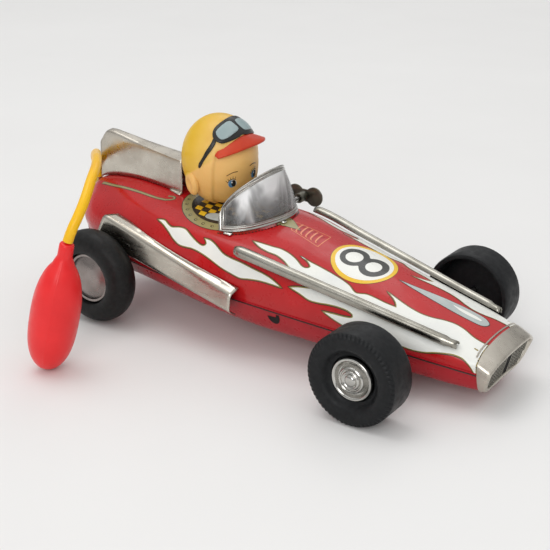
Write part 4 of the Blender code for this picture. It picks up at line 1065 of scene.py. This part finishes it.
# Distance ahead of the rear axle, top z, half-width and forward lean.
FIN_STATIONS = (
    (-31.0, 85.4, 1.2, 0.6), (-30.2, 89.0, 1.4, 1.6), (-27.4, 91.4, 1.7, 2.6), (-22.8, 92.4, 2.0, 1.6),
    (-12.0, 90.9, 2.6, 0.6), (-1.0, 89.0, 3.2, 0.0), (10.0, 87.3, 4.0, 0.0), (21.0, 85.8, 4.8, 0.0),
    (30.4, 84.6, 5.4, 0.0),
)


def height_over(x, y):
    """Height of the upper shell above a point of the plan."""
    points = half_section(x)[0]
    for (y0, z0), (y1, z1) in zip(points, points[1:]):
        if y0 <= abs(y) <= y1:
            return z0 + (z1 - z0) * (abs(y) - y0) / max(y1 - y0, 1e-6)
    return points[-1][1]


def thicken(made, thickness, offset=0.0, inside=None):
    """Give a sheet its gauge; `inside` is the look of the side that faces the car's middle plane, and on the
    strips and pods it is a dark look as painted shade.
    """
    sheet = made.modifiers.new("gauge", "SOLIDIFY")
    sheet.thickness = thickness * MM
    sheet.offset = offset
    sheet.use_even_offset = True
    if inside:
        outward = 0.0
        for face in made.data.polygons:
            outward += (face.center.y * face.normal.y + abs(face.center.y) * face.normal.z) * face.area
        if outward < 0:
            made.data.flip_normals()
        made.data.materials.append(inside)
        sheet.material_offset = 1
    return made


def make_fin():
    """The headrest fin, folded from one sheet with a soft fold and a crease on the driver's right."""
    rows = []
    path = smooth_line([Vector((x, top, half)) for x, top, half, _ in FIN_STATIONS], 40)
    leans = smooth_line([Vector((x, lean, 0.0)) for x, _, _, lean in FIN_STATIONS], 40)
    for point, shift in zip(path, leans):
        x, top, half = point
        lean = shift.y
        base = height_over(min(max(x, -37.0), 32.0), half) + 0.5
        row = []
        for k in range(9):
            t = k / 8
            swell = 0.10 * math.sin(math.pi * t)
            row.append(world(x + lean * t, -half - swell, base + (top - 1.5 - base) * t))
        row += [world(x + lean, -half + 0.25, top - 0.75), world(x + lean, -half * 0.62, top - 0.38)]
        for part, drop in ((-0.2, 0.20), (0.3, 0.05), (0.75, 0.0), (0.95, 0.15)):
            row.append(world(x + lean, half * part, top - drop))
        for k in range(9):
            t = 1 - k / 8
            swell = 0.10 * math.sin(math.pi * t)
            row.append(world(x + lean * t, half + swell, base + (top - 0.7 - base) * t))
        rows.append(row)
    fin = thicken(grid_piece("fin_sheet", rows, TIN, "car", sharp_degrees=50.0), 0.5, 0.0)
    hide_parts("tail_fin")
    for side, word in SIDES:
        flange = []
        for k in range(8):
            x = 22.0 + 8.4 * k / 7
            y = side * (4.9 + 0.07 * k)
            flange.append([
                world(x, y, height_over(x, y) + 1.0),
                world(x, y + side * 0.4, height_over(x, y) + 0.5),
                world(x, y + side * (0.9 + 0.25 * k), height_over(x, y + side * 2.0) + 0.35),
            ])
        foot = thicken(grid_piece("fin_foot_" + word, flange, TIN, "car"), 0.4)


def make_strips():
    """Half-round exhaust strips along the shoulders, with a stepped bright tip at the front."""
    for side, word in SIDES:
        out = Vector((0.0, side * 0.985, -0.17))
        up = Vector((0.0, side * 0.17, 0.985))
        rows = []
        count = 60
        for k in range(count):
            part = k / (count - 1)
            x = 88.0 + 115.0 * part
            shoulder_y, shoulder_z = station_values(x)[1:3]
            foot = Vector((x, side * shoulder_y, shoulder_z)) + up * 0.8
            nip = 1.0 - 0.20 * part
            if part > 0.955:
                nip *= 1.0 - 0.22 * min((part - 0.955) / 0.008, 1.0)
            if part < 0.03:
                nip *= 0.72 + 0.28 * math.sin(math.pi / 2 * part / 0.03)
            row = []
            for j in range(25):
                angle = math.radians(-24 + 204 * j / 24)
                point = foot + out * (5.4 / 2 * (1.0 - 0.20 * part + nip * math.cos(angle)))
                point += up * (3.1 * nip * math.sin(angle))
                row.append(world(*point))
            rows.append(row)
        sheet = grid_piece("strip_" + word, rows, STRIP_TIN, "car", sharp_degrees=50.0)
        # The inner face takes the dark steel look as painted shade under the strip.
        strip = thicken(sheet, 0.5, 0.0, DARK_STEEL_AND_INNER_SHADE)
        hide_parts("exhaust_strip_" + word)


# Corners of the pods' channels, as (x, y, z) from the top inner edge round to the bottom inner edge.
POD_REAR = ((5.0, 28.6, 56.6), (0.0, 34.4, 56.8), (-6.8, 34.6, 43.2), (-6.8, 32.0, 41.5))
POD_FRONT = ((90.5, 37.0, 37.4), (89.0, 42.4, 34.4), (88.0, 42.4, 25.4), (88.4, 37.6, 22.6))


def width_at(x, z):
    """Half-width of the body at a height."""
    points = half_section(x)[0] + lower_half(x)
    widest = 0.0
    for (y0, z0), (y1, z1) in zip(points, points[1:]):
        if min(z0, z1) <= z <= max(z0, z1):
            widest = max(widest, y0 + (y1 - y0) * ((z - z0) / (z1 - z0) if z1 != z0 else 0.0))
    return widest


def make_pods():
    """Side pods: tapering open channels that run forward from the rear wheels."""
    for side, word in SIDES:
        rows = []
        for k in range(49):
            t = k / 48
            a, b, c, d = [Vector(start).lerp(Vector(end), t) for start, end in zip(POD_REAR, POD_FRONT)]
            bend = 2.1
            section = [a, a.lerp(b, 0.35), a.lerp(b, 0.65)]
            for first, middle, last in ((a, b, c), (b, c, d)):
                start = middle + (first - middle).normalized() * bend
                end = middle + (last - middle).normalized() * bend
                for s in (0.0, 0.2, 0.4, 0.6, 0.8, 1.0):
                    section.append(start * (1 - s) ** 2 + middle * 2 * s * (1 - s) + end * s * s)
                if last is c:
                    section += [end.lerp(c - (c - b).normalized() * bend, s) for s in (0.25, 0.5, 0.75)]
            row = []
            for point in section + [d]:
                y = point.y
                if math.hypot(point.x, point.z - REAR_TYRE) < REAR_TYRE:
                    y = min(y, REAR_TYRE_MIDDLE - REAR_TYRE_ROUND - 0.8)
                y = max(y, width_at(point.x, point.z) + 0.8)
                row.append(world(point.x, side * y, point.z))
            rows.append(row)
        # The inner face takes the dark steel look as painted shade inside the channel.
        pod = thicken(grid_piece("pod_" + word, rows, TIN_STREAKED, "car"), 0.5, 0.0, DARK_STEEL_AND_INNER_SHADE)
        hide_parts("side_pod_" + word)


make_fin()
make_strips()
make_pods()


# ================================================================ windscreen

# The foot is half an oval, with its middle's x and its half-sizes; the rest says how the sheet rises.
SCREEN_X = 71.0
SCREEN_LENGTH = 22.6
SCREEN_HALF_WIDTH = 27.2
SCREEN_PEAK = 26.2
SCREEN_END = 0.6
SCREEN_POWER = 0.38
SCREEN_GAP = 0.9
SCREEN_BACKWARD = 6.0
SCREEN_INWARD = 0.36
FRAME_WIDTH = 3.1
PANE_U = 0.055


def screen_angle(u):
    """Place round the windscreen's foot as an angle, from straight right to straight left."""
    return math.radians(-90 + 180 * u)


def screen_rise(u):
    """Height of the windscreen at a place round its base, in millimetres."""
    return SCREEN_PEAK * max(math.cos(screen_angle(u)), 0.0) ** SCREEN_POWER + SCREEN_END


def screen_point(u, v):
    """A point of the windscreen in metres: u runs round from right to left, v from base to rim."""
    base_x = SCREEN_X + SCREEN_LENGTH * math.cos(screen_angle(u))
    base_y = SCREEN_HALF_WIDTH * math.sin(screen_angle(u))
    rise = screen_rise(u)
    lean = rise / (SCREEN_PEAK + SCREEN_END) * (0.5 + 0.5 * v) * v
    foot_z = height_over(base_x, base_y) + SCREEN_GAP
    return world(base_x - SCREEN_BACKWARD * lean, base_y * (1 - SCREEN_INWARD * lean), foot_z + rise * v)


def screen_normal(u, v):
    """Outward direction of the windscreen."""
    step = 0.01
    u0, u1 = max(u - step, 0.0), min(u + step, 1.0)
    v0, v1 = max(v - step, 0.0), min(v + step, 1.0)
    across = screen_point(u1, v) - screen_point(u0, v)
    rising = screen_point(u, v1) - screen_point(u, v0)
    normal = across.cross(rising)
    return normal.normalized() if normal.length > 0 else Vector((1.0, 0.0, 0.0))


def make_windscreen():
    """A hazy clear pane in a beaded frame, with its tabs, a dotted gasket line and a printed badge."""
    count = 60
    foot, top = [], []
    for k in range(count + 1):
        u = k / count
        inner_u = PANE_U + (1 - 2 * PANE_U) * u
        edge = min(FRAME_WIDTH / screen_rise(inner_u), 0.42)
        foot.append((u, 0.0, inner_u, edge))
        top.append((u, 1.0, inner_u, 1.0 - edge))
    profile = (
        (0.0, 0.05), (0.04, 0.42), (0.13, 0.66), (0.24, 0.60), (0.33, 0.10), (0.42, 0.08), (0.50, 0.50),
        (0.60, 0.58), (0.69, 0.10), (0.77, 0.10), (0.85, 0.34), (0.94, 0.26),
        (1.0, 0.02), (0.96, -0.34), (0.6, -0.46), (0.2, -0.50), (0.04, -0.40),
    )
    rows = []
    for u_out, v_out, u_in, v_in in foot + top[::-1]:
        row = []
        for part, lift in profile:
            u = u_out + (u_in - u_out) * part
            v = v_out + (v_in - v_out) * part
            row.append(screen_point(u, v) + screen_normal(u, v) * lift * MM)
        rows.append(row)
    rim = grid_piece("screen_rim", rows, RIM_CHROME, "car", True, True, False, 60.0)
    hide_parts("windscreen_frame")
    rows = []
    for i in range(49):
        u = PANE_U - 0.01 + (1.02 - 2 * PANE_U) * i / 48
        edge = min(FRAME_WIDTH * 0.85 / screen_rise(u), 0.40)
        rows.append([screen_point(u, edge + (1 - 2 * edge) * j / 14) for j in range(15)])
    pane = thicken(grid_piece("screen_pane", rows, PANE, "car", sharp_degrees=70.0), 0.45, 0.0)
    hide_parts("windscreen_pane")
    tabs = ((76.5, 27.2, 2.3, 1.3), (93.2, 3.2, 2.0, 1.6), (76.5, -27.2, 2.3, 1.3))
    for number, (x, u, size_x, size_u) in enumerate(tabs, 1):
        corners = [(x + a * size_x, u + b * size_u) for a, b in ((-1, -1), (1, -1), (1, 1), (-1, 1))]
        tab = printed("screen_tab_%d" % number, [rounded(corners, 0.8)], CHROME, 0.75, False)
        thicken(tab, 0.5)
    for word, side in PRINT_SIDES:
        line = []
        for k in range(46):
            angle = math.radians(4 + 84 * k / 45)
            line.append((70.0 + 24.4 * math.cos(angle), 28.6 * math.sin(angle)))
        for k in range(0, 45, 2):
            dash = [line[k], line[k + 1]]
            printed("gasket_%s_%02d" % (word, k), [stroke(dash, 0.8)], BLACK, 0.13, side < 0)
    tip = [(93.0, -4.2), (96.0, -3.0), (103.6, 2.6), (96.8, 5.4), (92.4, 7.4)]
    printed("screen_badge_line", [offset_outline(tip, 0.35)], BLACK, 0.09)
    printed("screen_badge", [tip], OLIVE, 0.12)


def pane_material():
    """Old clear plastic, hazed and scuffed, coloured with painted shade low down that lightens to a painted
    reflection at the top, streaked by the haze.
    """
    look = new_material("hazy_plastic_painted_glare", (0.62, 0.63, 0.63), 0.14)
    shader = shader_of(look)
    haze_and_glare_streaks = noise(look, 55.0, 3.0, 0.5, (1.0, 1.0, 0.45), 1.0)
    height = calculate(look, "MULTIPLY", calculate(look, "SUBTRACT", place_axis(look, "Z"), 0.062), 38.0)
    uneven = calculate(look, "MULTIPLY", calculate(look, "SUBTRACT", haze_and_glare_streaks, 0.5), 3.4)
    shade_glare_haze = calculate(look, "ADD", height, uneven)
    opaque = ramp(look, shade_glare_haze, [(0.0, grey(0.62)), (0.5, grey(0.74)), (1.0, grey(0.86))])
    look.node_tree.links.new(opaque, shader.inputs["Alpha"])
    # Painted shade at the bottom, where the dark cockpit would show through, lightening to a painted
    # reflection at the top.
    painted_shade_glare_tones = [(0.0, grey(0.08)), (0.35, grey(0.19)), (0.7, grey(0.42)), (1.0, grey(0.74))]
    set_colour(look, ramp(look, shade_glare_haze, painted_shade_glare_tones))
    set_roughness(look, noise(look, 160.0, 6.0), 0.10, 0.28)
    shader.inputs["Specular IOR Level"].default_value = 0.7
    return look


PANE = pane_material()
make_windscreen()


# ================================================================ wheels

REAR_AXIS = (0.0, REAR_TYRE)
FRONT_AXIS = (FRONT_AXLE, FRONT_TYRE)


def arc_profile(centre, radius, start, end, steps):
    """Points of (radius, y) along an arc of a wheel's profile."""
    points = []
    for k in range(steps + 1):
        angle = math.radians(start + (end - start) * k / steps)
        points.append((centre[0] + radius * math.cos(angle), centre[1] + radius * math.sin(angle)))
    return points


def make_rear_wheels():
    """Round black tyres on domed tin hubs."""
    middle = (REAR_TYRE - REAR_TYRE_ROUND, REAR_TYRE_MIDDLE)
    outline = arc_profile(middle, REAR_TYRE_ROUND, -112, 112, 40)
    edge = outline[0][0] - 0.3
    dome = [
        (1.8, 37.1), (edge, 37.1), (edge, 47.7), (edge - 0.2, 48.6), (edge - 0.8, 49.0), (edge - 1.4, 48.9),
        (edge - 1.9, 48.8), (10.8, 49.4), (9.4, 50.1), (8.0, 50.7), (6.4, 51.2), (4.8, 51.5), (3.0, 51.7),
        (1.4, 51.75), (0.0, 51.75), (0.0, 51.2), (6.0, 50.6), (9.0, 49.4), (edge - 1.7, 47.5),
        (edge - 1.7, 38.1), (1.8, 38.1),
    ]
    for side, word in SIDES:
        rubber_line = [(radius, side * y) for radius, y in outline]
        tyre = turned("rear_rubber_" + word, rubber_line, REAR_AXIS, TYRE_REAR, "rear_wheels", 112)
        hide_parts("rear_tyre_" + word)
        dome_line = [(radius, side * y) for radius, y in dome]
        hub = turned("rear_dome_" + word, dome_line, REAR_AXIS, HUB_TIN, "rear_wheels")
        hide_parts("rear_hub_" + word)


# Profiles of the front wheels, as (radius, depth in from the outer face).
TYRE_SIDE = (
    (22.5, 6.0), (22.5, 2.4), (22.38, 1.7), (22.05, 1.0), (21.5, 0.4), (20.7, 0.05), (19.9, 0.0),
    (18.2, 0.05), (16.2, 0.2), (15.2, 0.5), (14.3, 1.1), (13.6, 2.2), (13.0, 3.2), (12.2, 3.8),
    (11.2, 4.1), (10.9, 6.0), (1.8, 6.0), (1.8, 8.4), (12.6, 8.4), (17.0, 7.4), (19.0, 6.0),
)
CAP_STEPS = (
    (0.0, 5.6), (10.4, 5.6), (10.4, 3.0), (10.2, 2.4), (9.7, 2.15), (9.2, 2.25), (8.7, 2.8), (8.2, 3.7),
    (7.7, 4.3), (7.2, 4.4), (6.8, 4.0), (6.6, 2.6), (6.3, 1.9), (5.8, 1.6), (5.4, 1.75), (5.1, 2.3),
    (4.8, 2.35), (4.5, 1.7), (4.1, 1.2), (3.7, 1.15), (3.3, 1.6), (2.9, 1.7), (2.5, 1.1), (2.0, 0.75),
    (1.2, 0.52), (0.0, 0.5),
)
TICKED_ROWS = (7, 8, 9)
TICK_DEPTH = 0.8


def front_tyre_piece(side, word):
    """A wide moulded tyre with a ticked shoulder, a sunk sidewall and a hollow back."""
    radius = FRONT_TYRE
    profile = [
        (radius - 1.6, FRONT_INNER), (radius - 0.5, FRONT_INNER + 0.35), (radius, FRONT_INNER + 1.3),
        (radius, FRONT_INNER + 6.0),
    ]
    profile += [(size, FRONT_OUTER - depth) for size, depth in TYRE_SIDE]
    profile.append((20.0, FRONT_INNER + 0.4))
    rows = []
    for number, (size, y) in enumerate(profile):
        row = []
        for k, angle in enumerate(turns(180)):
            reach = size - TICK_DEPTH if number in TICKED_ROWS and k % 3 == 0 else size
            x, z = FRONT_AXLE + reach * math.cos(angle), FRONT_TYRE + reach * math.sin(angle)
            row.append(world(x, side * y, z))
        rows.append(row)
    tyre = grid_piece("front_rubber_" + word, rows, TYRE, "front_wheels", True, True, False, 30.0)
    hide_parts("front_tyre_" + word)


def make_front_wheels():
    """Wide tyres and stepped bright caps."""
    for side, word in SIDES:
        front_tyre_piece(side, word)
        line = [(radius, side * (FRONT_OUTER - depth)) for radius, depth in CAP_STEPS]
        made = turned("front_bright_" + word, line, FRONT_AXIS, CAP_CHROME, "front_wheels", 96, False, 50.0)
        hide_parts("front_cap_" + word)


make_rear_wheels()
make_front_wheels()


# ================================================================ key

# Middle of the key, then how far its lobes stand from it and their radius.
KEY = (61.6, 66.0, 52.0)
LOBE_OFFSET = 6.2
LOBE_RADIUS = 5.6


def make_key():
    """The wing key: two rounded lobes stamped from dark sheet, on a barrel."""
    x, y, z = KEY
    outline = []
    for offset, start in ((LOBE_OFFSET, -140), (-LOBE_OFFSET, 40)):
        for k in range(41):
            angle = math.radians(start + 280 * k / 40)
            outline.append((x + offset + LOBE_RADIUS * math.cos(angle), z + LOBE_RADIUS * math.sin(angle)))
    rows = []
    for size, lift in ((0.93, -0.6), (1.0, -0.35), (1.0, 0.35), (0.93, 0.6)):
        row = []
        for px, pz in outline:
            near = LOBE_OFFSET if px > x else -LOBE_OFFSET
            row.append(world(x + near + (px - x - near) * size, y + lift, z + (pz - z) * size))
        rows.append(row)
    wing = grid_piece("key_wing", rows, DARK_STEEL_AND_INNER_SHADE, "winding", False, True, True, 40.0)
    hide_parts("winding_key")
    barrel = [
        (1.8, 59.0), (2.7, 59.0), (2.9, 59.3), (2.9, 66.9), (2.6, 67.3), (2.0, 67.5), (1.0, 67.6),
        (0.0, 67.6), (0.0, 64.3), (1.8, 64.3),
    ]
    made = turned("key_barrel", barrel, (x, z), DARK_STEEL_AND_INNER_SHADE, "winding", 48, True, 45.0)


make_key()


# ================================================================ driver's head

# The head leans a little and looks slightly to the driver's right; its sizes are half-sizes.
HEAD_PLACE = (52.4, 0.0, 88.2)
HEAD_SIZE = (20.6, 20.2, 24.0)
HEAD_AXES = Matrix.Rotation(math.radians(-8.0), 3, "Z") @ Matrix.Rotation(math.radians(7.0), 3, "X")

# The helmet's moulded edge, as (latitude, longitude) in degrees.
HELMET_EDGE = ((-90, 88), (-54, 77), (-33, 68), (-18, 63), (-5, 61), (6, 59), (17, 55), (30, 50), (90, 45))


def edge_longitude(latitude):
    """How far round the helmet's moulded edge lies at a latitude, in degrees."""
    for (low, first), (high, second) in zip(HELMET_EDGE, HELMET_EDGE[1:]):
        if low <= latitude <= high:
            return first + (second - first) * (latitude - low) / (high - low)
    return HELMET_EDGE[-1][1]


def soft_step(value):
    """Ease from 0 to 1."""
    value = min(max(value, 0.0), 1.0)
    return value * value * (3 - 2 * value)


def head_local(longitude, latitude, lift=0.0):
    """A point of the head in its own axes, in millimetres."""
    a, b = math.radians(longitude), math.radians(latitude)
    unit = Vector((math.cos(b) * math.cos(a), math.cos(b) * math.sin(a), math.sin(b)))
    inside = soft_step((edge_longitude(latitude) - abs(longitude)) / 5.0) * soft_step((30.0 - latitude) / 6.0)
    cheek = math.exp(-((abs(longitude) - 30.0) / 19.0) ** 2 - ((latitude + 29.0) / 17.0) ** 2)
    socket = math.exp(-((abs(longitude) - 20.0) / 12.0) ** 2 - ((latitude + 10.0) / 10.0) ** 2)
    chin = math.exp(-(longitude / 55.0) ** 2 - ((latitude + 58.0) / 20.0) ** 2)
    scale = 1.0 - inside * (0.050 - 0.030 * cheek + 0.008 * socket) + 0.085 * chin
    return Vector((unit.x * HEAD_SIZE[0], unit.y * HEAD_SIZE[1], unit.z * HEAD_SIZE[2])) * scale + unit * lift


def head_world(point):
    """From the head's own axes to metres in the frame."""
    made = HEAD_AXES @ point + Vector(HEAD_PLACE)
    if made.z < 69.0:
        made.z = max(made.z, height_over(made.x, made.y) + 0.4)
    return world(*made)


def head_object(name, points, faces, look, smooth_degrees=60.0):
    """Make a piece of the head, kept in the head's own axes for its material."""
    place = Matrix.Translation(world(*HEAD_PLACE)) @ HEAD_AXES.to_4x4()
    back = place.inverted()
    made = mesh_piece(name, [back @ point for point in points], faces, look, None, True, smooth_degrees)
    made.matrix_world = place
    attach(made, "car")
    return made


def helmet_material():
    """Moulded flesh-coloured vinyl with a sprayed yellow cap that fades out towards the face."""
    look = vinyl("head_paint", (0.64, 0.37, 0.13), (0.60, 0.33, 0.11), 0.25, 0.12)
    x, z = place_axis(look, "X"), place_axis(look, "Z")
    mottle = noise(look, 70.0, 4.0)
    flesh = ramp(look, mottle, [(0.3, (0.80, 0.46, 0.135)), (0.7, (0.86, 0.52, 0.175))])
    yellow = ramp(look, mottle, [(0.3, (0.72, 0.43, 0.010)), (0.7, (0.78, 0.49, 0.020))])
    tan = ramp(look, mottle, [(0.3, (0.72, 0.43, 0.10)), (0.7, (0.78, 0.50, 0.15))])
    line = calculate(look, "SUBTRACT", z, calculate(look, "MULTIPLY", x, 0.62))
    above = calculate(look, "MULTIPLY_ADD", line, 700.0)
    above = ramp(look, above, [(0.02, grey(0.0)), (0.98, grey(1.0))])
    back = ramp(look, calculate(look, "MULTIPLY_ADD", x, -42.0), [(0.05, grey(0.0)), (0.72, grey(1.0))])
    cap = mixed(look, back, tan, yellow)
    set_colour(look, mixed(look, above, flesh, cap))
    return look


def make_head():
    """The head's main moulding, with ears and a small nose."""
    rows = []
    columns = 180
    for j in range(-44, 45):
        rows.append([head_world(head_local(-180 + 360 * k / columns, 2.0 * j)) for k in range(columns)])
    points, faces = skin(rows, False, True)
    points += [head_world(head_local(0, -90)), head_world(head_local(0, 90))]
    low, high = len(points) - 2, len(points) - 1
    last = (len(rows) - 1) * columns
    faces += [(low, (k + 1) % columns, k) for k in range(columns)]
    faces += [(high, last + k, last + (k + 1) % columns) for k in range(columns)]
    paint = helmet_material()
    head = head_object("head_moulding", points, faces, paint)
    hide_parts("driver_head")
    for side, word in SIDES:
        place = Vector((-3.0, side * 18.9, -7.4))
        turn = Matrix.Rotation(math.radians(side * 20.0), 3, "Z")
        rows = []
        for j in range(1, 32):
            row = []
            for a in turns(40):
                b = math.pi * j / 32
                unit = Vector((math.sin(b) * math.cos(a), side * math.cos(b), math.sin(b) * math.sin(a)))
                dip = 0.0
                if unit.y * side > 0:
                    dip = 0.52 * math.exp(-(((unit.x - 0.12) / 0.42) ** 2 + ((unit.z + 0.05) / 0.50) ** 2))
                local = Vector((unit.x * 5.6, unit.y * 3.0 * (1 - dip), unit.z * 6.6))
                row.append(head_world(turn @ local + place))
            rows.append(row)
        head_object("ear_" + word, *skin(rows, False, True, True), paint)
    rows = []
    for j in range(1, 20):
        b = math.pi * j / 20
        row = []
        for a in turns(28):
            x, y = 2.2 * math.sin(b) * math.cos(a), 2.3 * math.sin(b) * math.sin(a)
            row.append(head_world(Vector((17.6 + x, y, -12.4 + 1.8 * math.cos(b)))))
        rows.append(row)
    head_object("small_nose", *skin(rows, False, True, True), paint)


def head_patch(name, outline, look, lift, thickness, step=3.0):
    """A shape painted or moulded on the head; the outline is in degrees of longitude and latitude."""
    bm = cut_shape([outline], (step, step), 1e-5)
    bmesh.ops.recalc_face_normals(bm, faces=bm.faces)
    for vertex in bm.verts:
        vertex.co = head_world(head_local(vertex.co.x, vertex.co.y, lift))
    centre = world(*HEAD_PLACE)
    if sum((face.calc_center_median() - centre).dot(face.normal) for face in bm.faces) < 0:
        bmesh.ops.reverse_faces(bm, faces=bm.faces)
    points = [vertex.co.copy() for vertex in bm.verts]
    bm.verts.index_update()
    faces = [[vertex.index for vertex in face.verts] for face in bm.faces]
    bm.free()
    made = head_object(name, points, faces, look, 40.0)
    if thickness:
        thicken(made, thickness, -1.0)
    return made


GOGGLES = (
    (-55, 52), (-55, 46), (-51, 41), (-45, 38), (-37, 36), (-26, 37), (-14, 38), (-3, 39), (7, 40),
    (18, 37), (33, 34), (54, 28), (58, 34), (60, 40), (63, 46), (66, 52), (56, 62), (29, 69), (-2, 70),
    (-27, 67), (-44, 62), (-52, 57),
)
LENS_RIGHT = (
    (-48, 51), (-42, 56), (-29, 61), (-12, 64), (1, 63), (4, 58), (6, 50), (-1, 47), (-13, 45), (-21, 43),
    (-32, 41), (-39, 41), (-45, 45),
)
LENS_LEFT = (
    (21, 61), (40, 59), (58, 51), (59, 44), (57, 39), (52, 36), (40, 38), (27, 41), (18, 44), (15, 50),
    (15, 56),
)
STRAP = (
    (-53, 44), (-49, 39), (-55, 31), (-63, 23), (-69, 16), (-74, 9), (-77, 6), (-78.5, 7), (-77.5, 12),
    (-72, 19), (-66, 28), (-59, 36),
)


def make_goggles():
    """Moulded goggles pushed up on the helmet, with a painted strap."""
    head_patch("goggle_frame", curve_outline(list(GOGGLES), 2.0), GOGGLE, 0.75, 1.1)
    head_patch("goggle_lens_right", curve_outline(list(LENS_RIGHT), 2.0), LENS, 0.95, 0.3)
    head_patch("goggle_lens_left", curve_outline(list(LENS_LEFT), 2.0), LENS, 0.95, 0.3)
    for word, side in PRINT_SIDES:
        outline = [(side * a, b) for a, b in STRAP]
        head_patch("goggle_strap_" + word, curve_outline(outline, 2.0), GOGGLE, 0.35, 0.6)


def make_face():
    """Painted eyes looking to the driver's left, with lashes, brows and a small mouth."""
    for word, middle, height in (("right", -30.0, -17.5), ("left", 13.5, -15.0)):
        for name, a, b, size_a, size_b, count, look, lift in (
            ("white", 0.0, 0.0, 7.0, 5.4, 28, EYE_WHITE, 0.04),
            ("blue", -1.4, -0.4, 5.2, 5.2, 28, EYE_BLUE, 0.08),
            ("pupil", 2.0, 0.0, 3.8, 4.9, 28, EYE_BLACK, 0.12),
            ("glint", -0.8, 2.0, 1.2, 1.2, 12, EYE_WHITE, 0.16),
        ):
            outline = circle(middle + a, height + b, size_a, size_b, count)
            head_patch("eye_%s_%s" % (name, word), outline, look, lift, 0.0, 2.0)
        lid = [(middle + a, height + b) for a, b in ((-7.6, 1.8), (-4.0, 5.2), (1.0, 6.4), (6.0, 4.8))]
        head_patch("eye_lid_" + word, stroke(lid, 0.9, 1.2), EYE_BLACK, 0.14, 0.0, 2.0)
        for k, (a, b) in enumerate(((-7.4, 2.2), (-5.0, 4.6), (-2.0, 6.0), (1.4, 6.6), (4.6, 5.8))):
            lash = [(middle + a, height + b), (middle + a * 1.35, height + b + 3.2)]
            head_patch("lash_%s_%d" % (word, k), stroke(lash, 0.7, 1.2), BROW, 0.10, 0.0, 2.0)
    for word, points in (
        ("right", ((-38.0, -5.4), (-32.0, -3.4), (-26.0, -2.2), (-20.0, -2.6))),
        ("left", ((3.0, -1.0), (8.0, 0.0), (14.0, -0.4), (20.0, -2.4))),
    ):
        head_patch("brow_" + word, stroke([tuple(p) for p in points], 1.1, 1.5), BROW, 0.10, 0.0, 2.0)
    mouth = [(-11.0, -31.5), (-6.0, -34.2), (-1.0, -34.8), (4.0, -33.6), (8.0, -30.8)]
    head_patch("mouth", stroke(mouth, 2.2, 1.5), VISOR, 0.10, 0.0, 2.0)


def make_peak():
    """The cap's short red peak with a rounded brim."""
    rows = []
    for k in range(49):
        part = 2 * k / 48 - 1
        angle = math.radians(52.0 * part)
        bulge = 1 - part ** 2
        ends = soft_step((1 - abs(part)) / 0.10)
        root = Vector((15.0 * math.cos(angle), 14.8 * math.sin(angle), 12.2 + 3.6 * bulge))
        brim = Vector((21.0 * math.cos(angle), 20.6 * math.sin(angle), 8.4 + 2.4 * bulge))
        brim += Vector((2.4, 2.0, 0.4)) * soft_step((part + 0.2) / 0.8)
        brim = root.lerp(brim, 0.72 + 0.28 * ends)
        half = Vector((0.0, 0.0, 0.65 * (0.55 + 0.45 * ends)))
        outward = (brim - root).normalized() * 0.5
        middle = Vector((0.0, 0.0, -0.65))
        section = [root + middle + half]
        for part, swell in ((0.35, 1.25), (0.7, 1.15)):
            section.append(root.lerp(brim, part) + middle + half * swell)
        for turn in (90, 60, 30, 0, -30, -60, -90):
            bend = math.radians(turn)
            section.append(brim - outward + outward * math.cos(bend) + middle + half * math.sin(bend))
        section += [root.lerp(brim, part) + middle - half for part in (0.7, 0.35)]
        section.append(root + middle - half)
        rows.append([head_world(point) for point in section])
    head_object("cap_peak", *skin(rows, False, True, True), VISOR, 50.0)


make_head()
make_goggles()
make_face()
make_peak()


# ================================================================ pan details and inner works

def make_pan_details():
    """The slot of a fixing tab on each side of the pan, drawn as a flat near-black patch of painted shadow.
    """
    for word, side in (("right", -1), ("left", 1)):
        corners = [(104.9, 24.9)]
        for k in range(1, 16):
            angle = math.pi * k / 16
            corners.append((108.4 - 3.5 * math.cos(angle), 24.9 - 4.4 * math.sin(angle)))
        corners += [(111.9, 24.9), (111.9, 26.5), (110.0, 26.5), (110.0, 24.9)]
        outline = [world(x, side * (width_at(x, z) + 0.12), z) for x, z in corners]
        piece = mesh_piece("tab_slot_shadow_" + word, outline, [tuple(range(len(outline)))], PAINTED_SLOT_SHADOW, "car")


make_pan_details()

# The other CAD nodes keep their shapes and take a better material on their slots.
NODE_LOOKS = {
    "plated_tin": TIN, "chrome": CHROME, "steel": STEEL, "dark_steel": DARK_STEEL_AND_INNER_SHADE, "brass": BRASS,
    "black_rubber": TYRE, "bellows_rubber": BELLOWS,
}
for row in frame["record"]["subparts"]:
    made = frame["nodes"].get(row["node"])
    if made and row["material_slot"] in NODE_LOOKS:
        for held in made.material_slots:
            held.material = NODE_LOOKS[row["material_slot"]]
